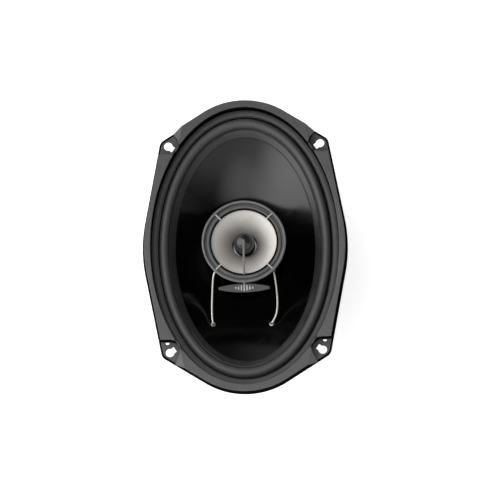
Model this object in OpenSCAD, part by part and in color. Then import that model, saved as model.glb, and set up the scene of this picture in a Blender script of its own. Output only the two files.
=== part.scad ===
// Coaxial 6 x 9 inch car speaker: an oval woofer with a cone tweeter carried on a post in front of it.
// Millimetres. Z = 0 is the rear face of the mounting flange and +Z points out of the front.

/* [Mounting flange] */
// Half width of the flange at the middle of its long sides
flange_half_w = 80.6; // [79:0.1:83]
// Half length of the flange
flange_half_l = 117.6; // [116:0.1:120]
// Thickness of the stamped flange
flange_t = 1.2; // [0.8:0.1:1.6]
// Distance between the bolt holes across the speaker
bolt_spacing_x = 119.6; // [119:0.1:120]
// Distance between the bolt holes along the speaker
bolt_spacing_y = 166.6; // [166:0.1:167]
// Radius of the round end of each bolt hole
bolt_hole_r = 3.4; // [2.8:0.1:3.6]

/* [Trim ring] */
// Height of the trim ring's raised band above the flange
trim_h = 9.9; // [8:0.1:12]
// Thickness of the trim ring's pads under the bolt heads
trim_pad_t = 0.8; // [0.5:0.1:1.5]

/* [Woofer] */
// Depth of the woofer cone
cone_depth = 44; // [42:0.5:45]
// Radius of the woofer's coil former
former_r = 16.15; // [16:0.05:16.3]
// Outer radius of the spider
spider_r = 50; // [49:0.5:50]
// Outer radius of the ring magnet
magnet_r = 45; // [43:0.5:50]
// Thickness of the ring magnet
magnet_t = 15; // [12:0.5:20]

/* [Tweeter] */
// Outer radius of the tweeter guard
guard_r = 33; // [32.5:0.1:34]
// Radius of the silver tweeter cone
tweeter_cone_r = 25.4; // [25:0.1:25.5]
// Height of the phase plug's tip above the flange
plug_tip_z = 25.8; // [24:0.1:26]

/* [Hidden] */

$fn = 96;
// Slack that lets one solid pass right through another when it is cut away
cut = 1;
// Steps round each oval sweep
oval_steps = 64;

// Flange outline: end arc, straight, ear corner, straight, side arc
end_arc_r = 60;
side_arc_r = 115;
ear_corner_r = 7;
side_normal = 10.8;
end_normal = 57.7;

// Bolt holes: a round end with a narrower square end that points to the middle
bolt_x = bolt_spacing_x / 2;
bolt_y = bolt_spacing_y / 2;
bolt_turn = 35;
bolt_notch_w = 4.6;
bolt_notch_reach = 5;
pin_hole_r = 1.5;
pin_hole_x = 61.7;
pin_hole_y = -75.4;

// Ovals as [half width, half length]
flange_opening = [68.8, 105.8];
trim_opening = [74, 111.6];
surround_outer = [73.6, 111.2];
land_inner = [69.4, 106.4];
roll_outer = [67.3, 104.4];
roll_inner = [60.4, 96.5];
cone_edge = [60.8, 96.9];

// Trim ring set back from the flange's edge, cut away round each bolt head and sloped beside the cut
trim_side_inset = 1.6;
trim_end_inset = 0.3;
trim_pad_inset = 1.8;
trim_z = flange_t;
ear_cut_r = 8.5;
ear_slope = 55;
ear_slope_at = [55.6, 93.2, trim_z + 0.9];
ear_slope_turn = 12.7;

// Surround
surround_t = 0.6;
land_z = flange_t + surround_t;
roll_h = 3.9;
groove_z = 0.8;
groove_floor_z = 0.3;

// Woofer cone: its wall is cone_wall thick measured along Z
cone_edge_z = 0;
cone_wall = 0.9;
cone_neck_r = former_r + 0.08;
cone_rings = 12;
// How much the wall flattens inwards, and how much it steepens into the neck
cone_dish = 0.4;
cone_flare = 0.6;
eyelet_hole_r = 1.5;

// Basket, with each profile point of its wall as [half width, half length, z]
wall_profile = [[70, 107, 0.6], [68.8, 105.8, 0.6], [67.8, 104.6, -6.6], [51.6, 51.6, -46],
    [53, 53, -46], [69.2, 106, -7]];
ledge_z = -47.45;
ledge_r = 50.8;
ledge_rim_r = 54.2;
ledge_rim_z = -44.4;
sheet_t = 1.2;
leg_half = 18;
window_top_z = -9;
window_bottom_z = -41;
seat_z = -58;
cup_r = 46.2;
seat_hole_r = 17.8;
tab_x = -66;
tab_half_w = 15;
tab_gap_half_w = 11;
tab_bottom_z = -36;
tab_top_z = -14;

// Motor
pole_r = 15.4;
top_plate_t = 5;
top_plate_r = 42.5;
top_plate_bore = 17.3;
magnet_bore = 24;
back_plate_t = 6;
magnet_z = seat_z - top_plate_t - magnet_t;
back_z = magnet_z - back_plate_t;
pole_top_z = -57;
coil_z = seat_z - top_plate_t / 2;
coil_h = 8;
coil_t = 0.6;
former_t = 0.35;
former_bottom_z = -66;
rivet_circle_r = 37;
rivet_hole_r = 2;
rivet_shank = 2.9;

// Post and its bolt, which comes through the pole from behind
post_r = 5;
post_top_z = -20;
bolt_r = 2;
bolt_bore_r = bolt_r + 0.2;
bolt_top_z = -45;
bolt_head_r = 4;
bolt_head_h = 3;
washer_r = 7;
washer_t = 0.8;
recess_depth = 4.5;

// Tweeter
housing_rim_z = 20.3;
guard_z = 22;
guard_foot_z = 20.4;
bar_reach = 26.3;
bar_foot_z = 21.4;
tweeter_land_z = 19.2;
tweeter_neck_r = 9.8;
tweeter_neck_z = 9;
tweeter_pole_r = 9.2;
tweeter_former_r = 9.75;
tweeter_bore_r = 10.55;
plug_r = 8.2;
plug_base_z = 2.4;
plug_shoulder_z = 17.6;
tweeter_yoke_z = -8.6;
tweeter_magnet_z = -6;
tweeter_plate_z = -1;
small_roll_r = 1.5;
small_roll_mid_r = 28.1;

lug_angles = [220.7, 317.2];
capacitor_z = -14;

// Badge: half width, half height and the half length of the lens that its blunt ends cut
badge_y = -37.4;
badge_z = 21.6;
badge_w = 20;
badge_h = 3.5;
badge_t = 1.2;
badge_lens = 24;

// Terminals
board_t = 1.6;
board_x = tab_x - board_t;
blade_t = 0.8;
blade_y = 6;
blade_rivet_z = -26;
blade_tip_hole_z = -41;
board_rivet_y = 11.5;
board_rivet_z = -20;
board_rivet_head = 0.8;

// Braided leads: routes through hand-placed points, from the fixed end to the cone
lead_r = 0.75;
lead_sides = 8;
lead_steps = 2;
eyelet_left = [-26.2, -58.6];
eyelet_right = [19.6, -58.9];
route_left = [[-23.5, -20.2, 7.1], [-24.9, -23.3, 6.2], [-25.8, -30, 3.4], [-26.4, -38, -0.6],
    [-26.9, -46, -3.8], [-26.9, -53, -5.8], [-26.5, -57, -6.9], [-26.2, -58.4, -7.5]];
route_right = [[22.2, -20.6, 7.1], [23, -24, 6.2], [23.9, -30.5, 3.4], [24.5, -38, -0.6],
    [24.5, -46, -4.2], [23.3, -52.5, -6.6], [21, -57, -8], [19.8, -58.6, -8.7]];
route_positive = [[-63.7, 6, -26], [-60, 5.5, -27], [-54, 2.5, -29.5], [-48, -4, -32.5],
    [-42, -14, -35.5], [-33, -26, -37.5], [-21, -38, -37.5], [-8, -48, -35], [5, -55.5, -31],
    [15, -59, -24], [19, -59.2, -18.5], [19.6, -58.9, -14.5]];
route_negative = [[-63.7, -6, -26], [-60, -7.5, -27], [-54.5, -13, -29.5], [-49, -22, -31.5],
    [-43, -34, -31.5], [-36.5, -46, -28.5], [-30.5, -54.5, -23], [-27, -58, -16.6],
    [-26.2, -58.6, -12.9]];

// ---------- Functions ----------

function mix(a, b, t) = a + (b - a) * t;
function unit(v) = v / norm(v);

// Points of an arc, anticlockwise from angle a0 to angle a1
function arc(centre, r, a0, a1, steps) =
    [for (i = [0 : steps]) let (a = mix(a0, a1, i / steps)) centre + r * [cos(a), sin(a)]];

// One quarter of the flange outline, with the sides and the ends set in by a given amount
function outline_quarter(side_in, end_in) =
    let (side_centre = [flange_half_w - side_arc_r, 0],
         end_centre = [0, flange_half_l - end_arc_r],
         corner_r = ear_corner_r - side_in / 2,
         side_reach = side_centre[0] * cos(side_normal) + side_arc_r - side_in - corner_r,
         end_reach = end_centre[1] * sin(end_normal) + end_arc_r - end_in - corner_r,
         det = sin(end_normal - side_normal),
         corner = [side_reach * sin(end_normal) - end_reach * sin(side_normal),
                   end_reach * cos(side_normal) - side_reach * cos(end_normal)] / det)
    concat(arc(side_centre, side_arc_r - side_in, 0, side_normal, 5),
           arc(corner, corner_r, side_normal, end_normal, 8),
           arc(end_centre, end_arc_r - end_in, end_normal, 90, 8));

function reversed(list) = [for (i = [len(list) - 1 : -1 : 0]) list[i]];
function scaled(list, sx, sy) = [for (p = list) [p[0] * sx, p[1] * sy]];
function outline(side_in, end_in) =
    let (q = outline_quarter(side_in, end_in))
    concat(q, reversed(scaled(q, -1, 1)), scaled(q, -1, -1), reversed(scaled(q, 1, -1)));

// Front surface of the woofer cone, from its edge at t = 0 to its neck at t = 1
function cone_fall(t) =
    cone_depth * ((1 + cone_dish - cone_flare) * t - cone_dish * t * t + cone_flare * pow(t, 8));
function cone_ring(t, drop) =
    [mix(cone_edge[0], cone_neck_r, t), mix(cone_edge[1], cone_neck_r, t),
     cone_edge_z - cone_fall(t) - drop];

// The t at which the cone passes through a point of the plan, found by halving
function cone_t(p, low = 0, high = 1, rounds = 30) =
    let (t = (low + high) / 2, ring = cone_ring(t, 0),
         outside = pow(p[0] / ring[0], 2) + pow(p[1] / ring[1], 2) > 1)
    rounds == 0 ? t : outside ? cone_t(p, low, t, rounds - 1) : cone_t(p, t, high, rounds - 1);
function cone_z(p) = cone_edge_z - cone_fall(cone_t(p));
function cone_normal(p, step = 0.5) =
    unit([cone_z(p - [step, 0]) - cone_z(p + [step, 0]),
          cone_z(p - [0, step]) - cone_z(p + [0, step]), 2 * step]);

// Smooth route through hand-placed points
function smooth_point(a, b, c, d, t) =
    (2 * b + (c - a) * t + (2 * a - 5 * b + 4 * c - d) * t * t
     + (3 * b - a - 3 * c + d) * t * t * t) / 2;
function smooth_route(route, steps) =
    let (n = len(route))
    concat([for (i = [0 : n - 2], j = [0 : steps - 1])
        smooth_point(route[max(i - 1, 0)], route[i], route[i + 1], route[min(i + 2, n - 1)], j / steps)],
        [route[n - 1]]);
function tangents(path) =
    [for (i = [0 : len(path) - 1]) unit(path[min(i + 1, len(path) - 1)] - path[max(i - 1, 0)])];
function side_of(v, t) = unit(v - t * (v * t));
function sides_along(tans) =
    [for (i = 0, v = side_of([1, 0.3, 0.2], tans[0]); i < len(tans);
          i = i + 1, v = i < len(tans) ? side_of(v, tans[i]) : v) v];

// ---------- Shapes ----------

// Closed ring swept round an oval; each profile point is [half width, half length, z]
module oval_sweep(profile) {
    n = len(profile);
    points = [for (i = [0 : oval_steps - 1], p = profile)
        let (a = i * 360 / oval_steps) [p[0] * cos(a), p[1] * sin(a), p[2]]];
    faces = [for (i = [0 : oval_steps - 1], j = [0 : n - 1])
        let (k = (i + 1) % oval_steps, m = (j + 1) % n, a = i * n + j, b = i * n + m,
             c = k * n + m, d = k * n + j)
        each [[a, b, c], [a, c, d]]];
    polyhedron(points = points, faces = faces, convexity = 8);
}

// Round tube along a smooth route
module lead(route) {
    path = smooth_route(route, lead_steps);
    tans = tangents(path);
    sides = sides_along(tans);
    n = len(path);
    points = [for (i = [0 : n - 1], j = [0 : lead_sides - 1])
        let (a = j * 360 / lead_sides, u = sides[i], v = cross(tans[i], u))
        path[i] + lead_r * (cos(a) * u + sin(a) * v)];
    walls = [for (i = [0 : n - 2], j = [0 : lead_sides - 1])
        let (k = (j + 1) % lead_sides, a = i * lead_sides + j, b = i * lead_sides + k,
             c = a + lead_sides, d = b + lead_sides)
        each [[a, c, d], [a, d, b]]];
    start_cap = [for (j = [0 : lead_sides - 1]) j];
    end_cap = [for (j = [lead_sides - 1 : -1 : 0]) (n - 1) * lead_sides + j];
    polyhedron(points = points, faces = concat([start_cap, end_cap], walls), convexity = 6);
}

module ring(outer_r, inner_r, z, h) {
    translate([0, 0, z]) difference() {
        cylinder(r = outer_r, h = h);
        translate([0, 0, -cut]) cylinder(r = inner_r, h = h + 2 * cut);
    }
}

module oval_cut(half, z, h) {
    outline = [for (i = [0 : oval_steps - 1]) let (a = i * 360 / oval_steps)
        [half[0] * cos(a), half[1] * sin(a)]];
    translate([0, 0, z]) linear_extrude(h) polygon(outline);
}

// Round rod or bore along X
module across_x(x, y, z, r, h) {
    translate([x, y, z]) rotate([0, 90, 0]) cylinder(r = r, h = h);
}

// Bolt hole: a true round hole and its narrow end, through everything from z up to z + h
module bolt_holes(z, h) {
    for (sx = [-1, 1], sy = [-1, 1]) translate([sx * bolt_x, sy * bolt_y, z]) {
        cylinder(r = bolt_hole_r, h = h);
        rotate([0, 0, atan2(-sy * sin(bolt_turn), -sx * cos(bolt_turn))])
            translate([0, -bolt_notch_w / 2, 0]) cube([bolt_notch_reach, bolt_notch_w, h]);
    }
    for (sx = [-1, 1]) translate([sx * pin_hole_x, pin_hole_y, z]) cylinder(r = pin_hole_r, h = h);
}

// ---------- Chassis ----------

module basket_flange() {
    difference() {
        linear_extrude(flange_t) polygon(outline(0, 0));
        oval_cut(flange_opening, -cut, flange_t + 2 * cut);
        bolt_holes(-cut, flange_t + 2 * cut);
    }
}

// Tapering oval wall with a window in each quarter and an opening behind the terminals
module basket_wall() {
    difference() {
        oval_sweep(wall_profile);
        for (sx = [-1, 1], sy = [-1, 1]) scale([sx, sy, 1])
            translate([leg_half, leg_half, window_bottom_z])
                cube([100, 100, window_top_z - window_bottom_z]);
        translate([-80, -tab_gap_half_w, tab_bottom_z - 2])
            cube([30, 2 * tab_gap_half_w, tab_top_z - tab_bottom_z - 1]);
    }
}

// Round step for the spider and flat seat for the motor
module basket_cup() {
    difference() {
        rotate_extrude() polygon([[seat_hole_r, seat_z], [cup_r, seat_z], [cup_r, ledge_z - sheet_t],
            [ledge_rim_r, ledge_z - sheet_t], [ledge_rim_r, ledge_rim_z], [ledge_r, ledge_rim_z],
            [ledge_r, ledge_z], [cup_r - sheet_t, ledge_z], [cup_r - sheet_t, seat_z + sheet_t],
            [seat_hole_r, seat_z + sheet_t]]);
        rivet_places() translate([0, 0, seat_z - cut]) cylinder(r = rivet_hole_r, h = 4);
    }
}

module terminal_tab() {
    difference() {
        translate([tab_x, -tab_half_w, tab_bottom_z])
            cube([sheet_t, 2 * tab_half_w, tab_top_z - tab_bottom_z]);
        for (y = [-blade_y, blade_y]) across_x(tab_x - cut, y, blade_rivet_z, 2.6, 4);
        for (y = [-board_rivet_y, board_rivet_y]) across_x(tab_x - cut, y, board_rivet_z, 1.5, 4);
    }
}

module basket() {
    color("#26272a") union() {
        basket_flange();
        basket_wall();
        basket_cup();
        terminal_tab();
    }
}

module trim_ring() {
    color("#5a5b5c") difference() {
        union() {
            translate([0, 0, trim_z]) linear_extrude(trim_pad_t)
                polygon(outline(trim_side_inset, trim_pad_inset));
            difference() {
                translate([0, 0, trim_z]) linear_extrude(trim_h) difference() {
                    polygon(outline(trim_side_inset, trim_end_inset));
                    for (sx = [-1, 1], sy = [-1, 1]) scale([sx, sy]) ear_cut();
                }
                for (sx = [0, 1], sy = [0, 1]) mirror([sx, 0, 0]) mirror([0, sy, 0]) ear_slope_cut();
            }
        }
        oval_cut(trim_opening, trim_z - cut, trim_h + 2 * cut);
        bolt_holes(trim_z - cut, 4);
    }
}

// Region cut from the raised band: round on the bolt's inner side and open to the ear's two edges
module ear_cut() {
    translate([bolt_x, bolt_y]) {
        circle(r = ear_cut_r);
        translate([0, -ear_cut_r]) square([40, 60]);
        rotate(end_normal) square([40, ear_cut_r]);
    }
}

// Block whose lower face slopes the band down to the pad beside the cut
module ear_slope_cut() {
    translate(ear_slope_at) rotate([0, ear_slope, ear_slope_turn]) translate([-12, -12, 0])
        cube([30, 24, 20]);
}

// ---------- Woofer ----------

// Half roll of the surround as points from the outer groove to the inner one
function roll_profile(drop) =
    [for (i = [0 : 10]) let (a = 180 * i / 10, t = (1 - cos(a)) / 2)
        [mix(roll_outer[0] - drop / 2, roll_inner[0] + drop / 2, t),
         mix(roll_outer[1] - drop / 2, roll_inner[1] + drop / 2, t),
         groove_z + (roll_h - drop) * sin(a)]];

module surround() {
    lip_t = [0.02, 0.1];
    lip_top = [for (t = lip_t) cone_ring(t, -surround_t - 0.1)];
    lip_under = [for (t = lip_t) cone_ring(t, -0.1)];
    land = [[surround_outer[0], surround_outer[1], flange_t],
        [surround_outer[0], surround_outer[1], land_z], [land_inner[0], land_inner[1], land_z]];
    foot = [flange_opening[0] - 0.3, flange_opening[1] - 0.3];
    under_groove = [[roll_outer[0] - surround_t / 2, roll_outer[1] - surround_t / 2, groove_floor_z],
        [foot[0], foot[1], groove_floor_z], [foot[0], foot[1], flange_t]];
    color("#3a3b3c") oval_sweep(concat(land, roll_profile(0), lip_top, reversed(lip_under),
        reversed(roll_profile(surround_t)), under_groove));
}

module woofer_cone() {
    steps = [for (i = [0 : cone_rings]) i / cone_rings];
    color("#0c0c0d") difference() {
        oval_sweep(concat([for (t = steps) cone_ring(t, 0)],
            [for (t = reversed(steps)) cone_ring(t, cone_wall)]));
        for (p = [eyelet_left, eyelet_right])
            on_cone(p) translate([0, 0, -4]) cylinder(r = eyelet_hole_r, h = 8);
    }
}

// Places its children on the cone's front at a point of the plan, with Z along the surface normal
module on_cone(p) {
    n = cone_normal(p);
    translate([p[0], p[1], cone_z(p)])
        rotate([0, acos(n[2]), atan2(n[1], n[0])]) children();
}

module cone_eyelets() {
    shank_r = eyelet_hole_r - 0.2;
    color("#7d776c") for (p = [eyelet_left, eyelet_right]) on_cone(p) rotate_extrude($fn = 32)
        polygon([[0.5, -2.4], [shank_r, -2.4], [shank_r, 0.15], [2.1, 0.15], [2.1, 0.7], [0.5, 0.9]]);
}

// Corrugated cloth disc as points from the former to the outer land
function spider_profile(offset) =
    let (first = 20, last = 44, waves = 4, steps = 32)
    concat([[former_r + 0.02, ledge_z + offset]],
           [for (i = [0 : steps]) let (t = i / steps)
               [mix(first, last, t), ledge_z + offset + 0.2 + 1.1 * sin(360 * waves * t) * sin(180 * t)]],
           [[spider_r, ledge_z + offset]]);

module spider() {
    color("#c8a860") rotate_extrude() polygon(concat(spider_profile(0), reversed(spider_profile(0.5))));
}

module coil_former() {
    color("#b08d57") ring(former_r, former_r - former_t, former_bottom_z, -42.5 - former_bottom_z);
}

module voice_coil() {
    color("#b5651d") ring(former_r + coil_t, former_r, coil_z - coil_h / 2, coil_h);
}

// ---------- Motor ----------

module rivet_places() {
    for (a = [45 : 90 : 315]) rotate([0, 0, a]) translate([rivet_circle_r, 0, 0]) children();
}

module top_plate() {
    color("#a9abae") difference() {
        ring(top_plate_r, top_plate_bore, seat_z - top_plate_t, top_plate_t);
        rivet_places() translate([0, 0, seat_z - 3]) cylinder(r = rivet_hole_r, h = 4);
    }
}

module ring_magnet() {
    color("#2b2b2d") ring(magnet_r, magnet_bore, magnet_z, magnet_t);
}

// Back plate and pole in one turning, with a recess at the back for the bolt's head
module pole_yoke() {
    color("#a9abae") rotate_extrude() polygon([[bolt_bore_r, back_z + recess_depth],
        [washer_r + 1, back_z + recess_depth], [washer_r + 1, back_z], [top_plate_r - 1, back_z],
        [top_plate_r, back_z + 1], [top_plate_r, magnet_z], [pole_r, magnet_z],
        [pole_r, pole_top_z - 0.5], [pole_r - 0.5, pole_top_z], [bolt_bore_r, pole_top_z]]);
}

module frame_rivets() {
    shank_r = rivet_hole_r - 0.05;
    floor_z = seat_z + sheet_t;
    color("#8f9194") rivet_places() rotate_extrude($fn = 32)
        polygon([[0, seat_z - rivet_shank], [shank_r, seat_z - rivet_shank], [shank_r, floor_z],
            [3.6, floor_z], [3, floor_z + 1.2], [0, floor_z + 1.5]]);
}

module tweeter_post() {
    color("#1c1c1e") difference() {
        translate([0, 0, pole_top_z]) cylinder(r = post_r, h = post_top_z - pole_top_z);
        translate([0, 0, pole_top_z - cut]) cylinder(r = bolt_r, h = bolt_top_z - pole_top_z + cut);
    }
}

module post_bolt() {
    head_z = back_z + recess_depth - washer_t;
    color("#9c9ea1") union() {
        translate([0, 0, head_z]) cylinder(r = bolt_r, h = bolt_top_z - head_z);
        translate([0, 0, head_z - bolt_head_h]) difference() {
            cylinder(r = bolt_head_r, h = bolt_head_h, $fn = 6);
            translate([0, 0, -cut]) cylinder(r = 1.6, h = cut + 1);
        }
    }
}

module post_washer() {
    color("#c0c2c5") ring(washer_r, bolt_bore_r, back_z + recess_depth - washer_t, washer_t);
}

// ---------- Tweeter ----------

module tweeter_housing() {
    color("#18181a") rotate_extrude() polygon([[0, post_top_z], [16, post_top_z], [24, -12], [24, 0],
        [26, 6], [31.2, 17], [32, housing_rim_z], [30.8, housing_rim_z], [30.8, tweeter_land_z],
        [29.2, tweeter_land_z], [29.2, 17], [24.6, 7], [22.6, 0.4], [22.6, -11.4], [15.4, -18.6],
        [0, -18.6]]);
}

module tweeter_yoke() {
    color("#9b9da0") rotate_extrude() polygon([[0, tweeter_yoke_z], [20, tweeter_yoke_z],
        [20, tweeter_magnet_z], [tweeter_pole_r, tweeter_magnet_z], [tweeter_pole_r, plug_base_z],
        [0, plug_base_z]]);
}

module tweeter_magnet() {
    color("#2b2b2d") ring(21.5, 13, tweeter_magnet_z, tweeter_plate_z - tweeter_magnet_z);
}

module tweeter_top_plate() {
    color("#9b9da0") ring(22.5, tweeter_bore_r, tweeter_plate_z, 2.8);
}

// Flared cone: [radius, z] from its edge to its neck
function flare(offset) =
    [for (i = [0 : 8]) let (t = i / 8)
        [mix(tweeter_cone_r, tweeter_neck_r, t),
         mix(tweeter_land_z, tweeter_neck_z, (0.7 * t + 0.3 * t * t)) + offset]];

module tweeter_cone() {
    wall = 0.4;
    rim = [[tweeter_cone_r + 0.8, tweeter_land_z - wall], [tweeter_cone_r + 0.8, tweeter_land_z]];
    color("#c3bdb5") rotate_extrude() polygon(concat(rim, flare(0), reversed(flare(-wall))));
}

module tweeter_former() {
    color("#c9a66b") ring(tweeter_former_r, tweeter_former_r - 0.2, -2, 11.2);
}

module tweeter_coil() {
    color("#b5651d") ring(tweeter_former_r + 0.4, tweeter_former_r, -1.6, 4);
}

// Half circle over the tweeter's roll, as [radius, z] from its inner side to its outer side
function small_roll(r, z) =
    [for (i = [0 : 10]) let (a = 18 * i) [small_roll_mid_r - r * cos(a), z + r * sin(a)]];

// Small half roll with a land outside and a lip on the cone's edge inside
module tweeter_surround() {
    t = 0.35;
    lip_r = tweeter_cone_r + 0.3;
    land_r = 30.7;
    color("#5f6062") rotate_extrude() polygon(concat(
        [[lip_r, tweeter_land_z + 0.05], [lip_r, tweeter_land_z + t + 0.05]],
        small_roll(small_roll_r, tweeter_land_z + t),
        [[land_r, tweeter_land_z + t], [land_r, tweeter_land_z]],
        reversed(small_roll(small_roll_r - t, tweeter_land_z))));
}

// Bullet that stands on the pole inside the tweeter's neck
module phase_plug() {
    steps = 10;
    nose = [for (i = [0 : steps]) let (a = 90 * i / steps)
        [plug_r * cos(a), mix(plug_shoulder_z, plug_tip_z, sin(a))]];
    color("#0a0a0b") rotate_extrude() polygon(concat([[0, plug_base_z], [plug_r, plug_base_z]], nose));
}

// Bar from the plug's tip to the guard's inner ring, arched along -Y
module guard_bar() {
    w = 2;
    t = 1.2;
    steps = 10;
    under = [for (i = [0 : steps]) let (s = i / steps)
        [bar_reach * s, mix(bar_foot_z, plug_tip_z + 0.05, cos(90 * s))]];
    over = [for (p = reversed(under)) [p[0], p[1] + t]];
    translate([w / 2, 0, 0]) rotate([90, 0, -90]) linear_extrude(w) polygon(concat(under, over));
}

// Ring guard: outer ring, inner ring, four ribs, a bar to the phase plug and the badge's carrier
module tweeter_guard() {
    color("#6f7072") union() {
        rotate_extrude() union() {
            translate([guard_r - 1, guard_z]) circle(r = 1);
            translate([guard_r - 2, guard_foot_z]) square([2, guard_z - guard_foot_z]);
        }
        ring(26.8, 25.6, 20.9, 1.1);
        for (a = [45 : 90 : 315]) rotate([0, 0, a])
            translate([26.2, -0.6, 21.5]) cube([guard_r - 27.6, 1.2, 1]);
        guard_bar();
        translate([-0.9, -guard_r - 0.6, 22.2]) cube([1.8, 2.6, 1.4]);
        translate([-0.9, -38.5, 20.6]) cube([1.8, 6.5, 1]);
    }
}

// Long lens-shaped plate with blunt ends and a plain raised row of level bars
module badge() {
    lens_r = (badge_lens * badge_lens + badge_h * badge_h) / (2 * badge_h);
    levels = [0.9, 1.5, 2.1, 2.6, 2.1, 1.5, 0.9];
    color("#55565a") translate([0, badge_y, badge_z]) union() {
        linear_extrude(badge_t) intersection() {
            translate([0, lens_r - badge_h]) circle(r = lens_r, $fn = 360);
            translate([0, badge_h - lens_r]) circle(r = lens_r, $fn = 360);
            square([2 * badge_w, 4 * badge_h], center = true);
        }
        for (i = [0 : len(levels) - 1])
            translate([(i - 3) * 2.2 - 0.6, -levels[i], badge_t]) cube([1.2, 2 * levels[i], 0.3]);
    }
}

// Solder lugs on the housing where the two front leads begin
module tweeter_lugs() {
    color("#cfc9bd") for (a = lug_angles) rotate([0, 0, a])
        translate([27.4, -1.3, 8]) cube([4.2, 2.6, 0.6]);
}

module capacitor() {
    color("#20406a") across_x(-6, 0, capacitor_z, 4, 12);
}

module capacitor_wires() {
    color("#c8c8ca") for (x = [-10.55, 6.05]) across_x(x, 0, capacitor_z, 0.4, 4.5, $fn = 24);
}

// ---------- Terminals ----------

module terminal_board() {
    color("#7a5230") difference() {
        translate([board_x, -14, -35]) cube([board_t, 28, 18]);
        for (y = [-blade_y, blade_y]) across_x(board_x - cut, y, blade_rivet_z, 1.3, 4);
        for (y = [-board_rivet_y, board_rivet_y]) across_x(board_x - cut, y, board_rivet_z, 1.5, 4);
    }
}

// Push-on blade riveted to the board: the plus blade is the wider one
module blade(y, width) {
    difference() {
        translate([board_x - blade_t, y - width / 2, -45]) cube([blade_t, width, 22.5]);
        across_x(board_x - blade_t - cut, y, blade_rivet_z, 1.3, 4);
        across_x(board_x - blade_t - cut, y, blade_tip_hole_z, 0.8, 4);
    }
    across_x(board_x - blade_t - 0.9, y, blade_rivet_z, 2.2, 0.9);
    across_x(board_x - blade_t - 0.45, y, blade_rivet_z, 1.28, 4.9);
}

module terminal_positive() {
    color("#cdb26a") blade(blade_y, 6.3);
}

module terminal_negative() {
    color("#b9bbbe") blade(-blade_y, 4.8);
}

module terminal_rivets() {
    grip = board_t + sheet_t;
    color("#9a9c9f") for (y = [-board_rivet_y, board_rivet_y]) {
        across_x(board_x - board_rivet_head, y, board_rivet_z, 2.4, board_rivet_head);
        across_x(board_x - board_rivet_head, y, board_rivet_z, 1.48, board_rivet_head + grip);
        across_x(board_x + grip, y, board_rivet_z, 2.2, board_rivet_head);
    }
}

// ---------- Leads ----------

module tweeter_lead_left() {
    color("#d8cfc6") lead(route_left);
}

module tweeter_lead_right() {
    color("#d8cfc6") lead(route_right);
}

module woofer_lead_positive() {
    color("#b98a5a") lead(route_positive);
}

module woofer_lead_negative() {
    color("#b98a5a") lead(route_negative);
}

basket();
trim_ring();
surround();
spider();
woofer_cone();
coil_former();
voice_coil();
cone_eyelets();
top_plate();
ring_magnet();
pole_yoke();
frame_rivets();
tweeter_post();
post_bolt();
post_washer();
tweeter_housing();
tweeter_yoke();
tweeter_magnet();
tweeter_top_plate();
tweeter_cone();
tweeter_former();
tweeter_coil();
tweeter_surround();
phase_plug();
tweeter_guard();
badge();
tweeter_lugs();
capacitor();
capacitor_wires();
terminal_board();
terminal_positive();
terminal_negative();
terminal_rivets();
tweeter_lead_left();
tweeter_lead_right();
woofer_lead_positive();
woofer_lead_negative();
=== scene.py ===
"""The looks of a coaxial 6 x 9 inch car speaker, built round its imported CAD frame.

Lengths are in millimetres up to the mesh calls, which turn them into metres. The frame is the CAD's: Z = 0 is
the rear face of the mounting flange, +Z points out of the front and +Y runs along the oval.
"""
from math import acos, asin, atan2, cos, degrees, dist, hypot, pi, radians, sin, sqrt

import bmesh
import bpy
import numpy as np
from mathutils import Matrix, Vector
from mathutils.geometry import tessellate_polygon


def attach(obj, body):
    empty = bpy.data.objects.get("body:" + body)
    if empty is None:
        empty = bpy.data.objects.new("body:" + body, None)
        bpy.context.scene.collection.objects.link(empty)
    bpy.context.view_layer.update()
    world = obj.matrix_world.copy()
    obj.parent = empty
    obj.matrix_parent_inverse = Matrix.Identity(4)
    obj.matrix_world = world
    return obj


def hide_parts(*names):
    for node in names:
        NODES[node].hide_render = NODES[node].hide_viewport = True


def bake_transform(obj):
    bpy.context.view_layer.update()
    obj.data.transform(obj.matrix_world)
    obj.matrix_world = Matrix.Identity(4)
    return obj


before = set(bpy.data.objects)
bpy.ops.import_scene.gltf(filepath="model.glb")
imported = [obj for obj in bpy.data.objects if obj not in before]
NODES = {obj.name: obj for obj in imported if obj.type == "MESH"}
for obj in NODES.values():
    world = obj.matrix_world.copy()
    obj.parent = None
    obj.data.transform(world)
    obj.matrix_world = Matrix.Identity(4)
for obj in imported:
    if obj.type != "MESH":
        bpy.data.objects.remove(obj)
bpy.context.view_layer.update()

MM = 0.001
SCENE = bpy.context.scene
ROUND = 192      # steps round a turned piece
OVAL = 288       # steps round an oval piece
SHARP = radians(38)

# ---------- Dimensions shared with the CAD ----------
CONE_EDGE = (60.8, 96.9)
CONE_NECK = 16.23
CONE_DEPTH = 44.0
CONE_DISH, CONE_FLARE = 0.4, 0.6
CONE_WALL = 0.9
SHEET = 1.2              # pressed steel of the basket
LEDGE_Z = -47.45         # where the spider is glued
SEAT_Z = -58.0           # front of the motor's top plate
GAP_Z = -63.0            # back of the top plate
POLE_TOP = -57.0
MAGNET_Z = -78.0         # back of the magnet
BACK_Z = -84.0
TAB_X, BOARD_X = -66.0, -67.6        # outer faces of the basket's terminal tab and of the board
POLES_Y, POLES_Z = (6, -6), -26.0
FIXINGS_Y, FIXINGS_Z = (-11.5, 11.5), -20.0
BOLT_X, BOLT_Y = 59.8, 83.3
PIN_X, PIN_Y = 61.7, -75.4
EYELETS = {"left": (-26.2, -58.6), "right": (19.6, -58.9)}

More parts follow.
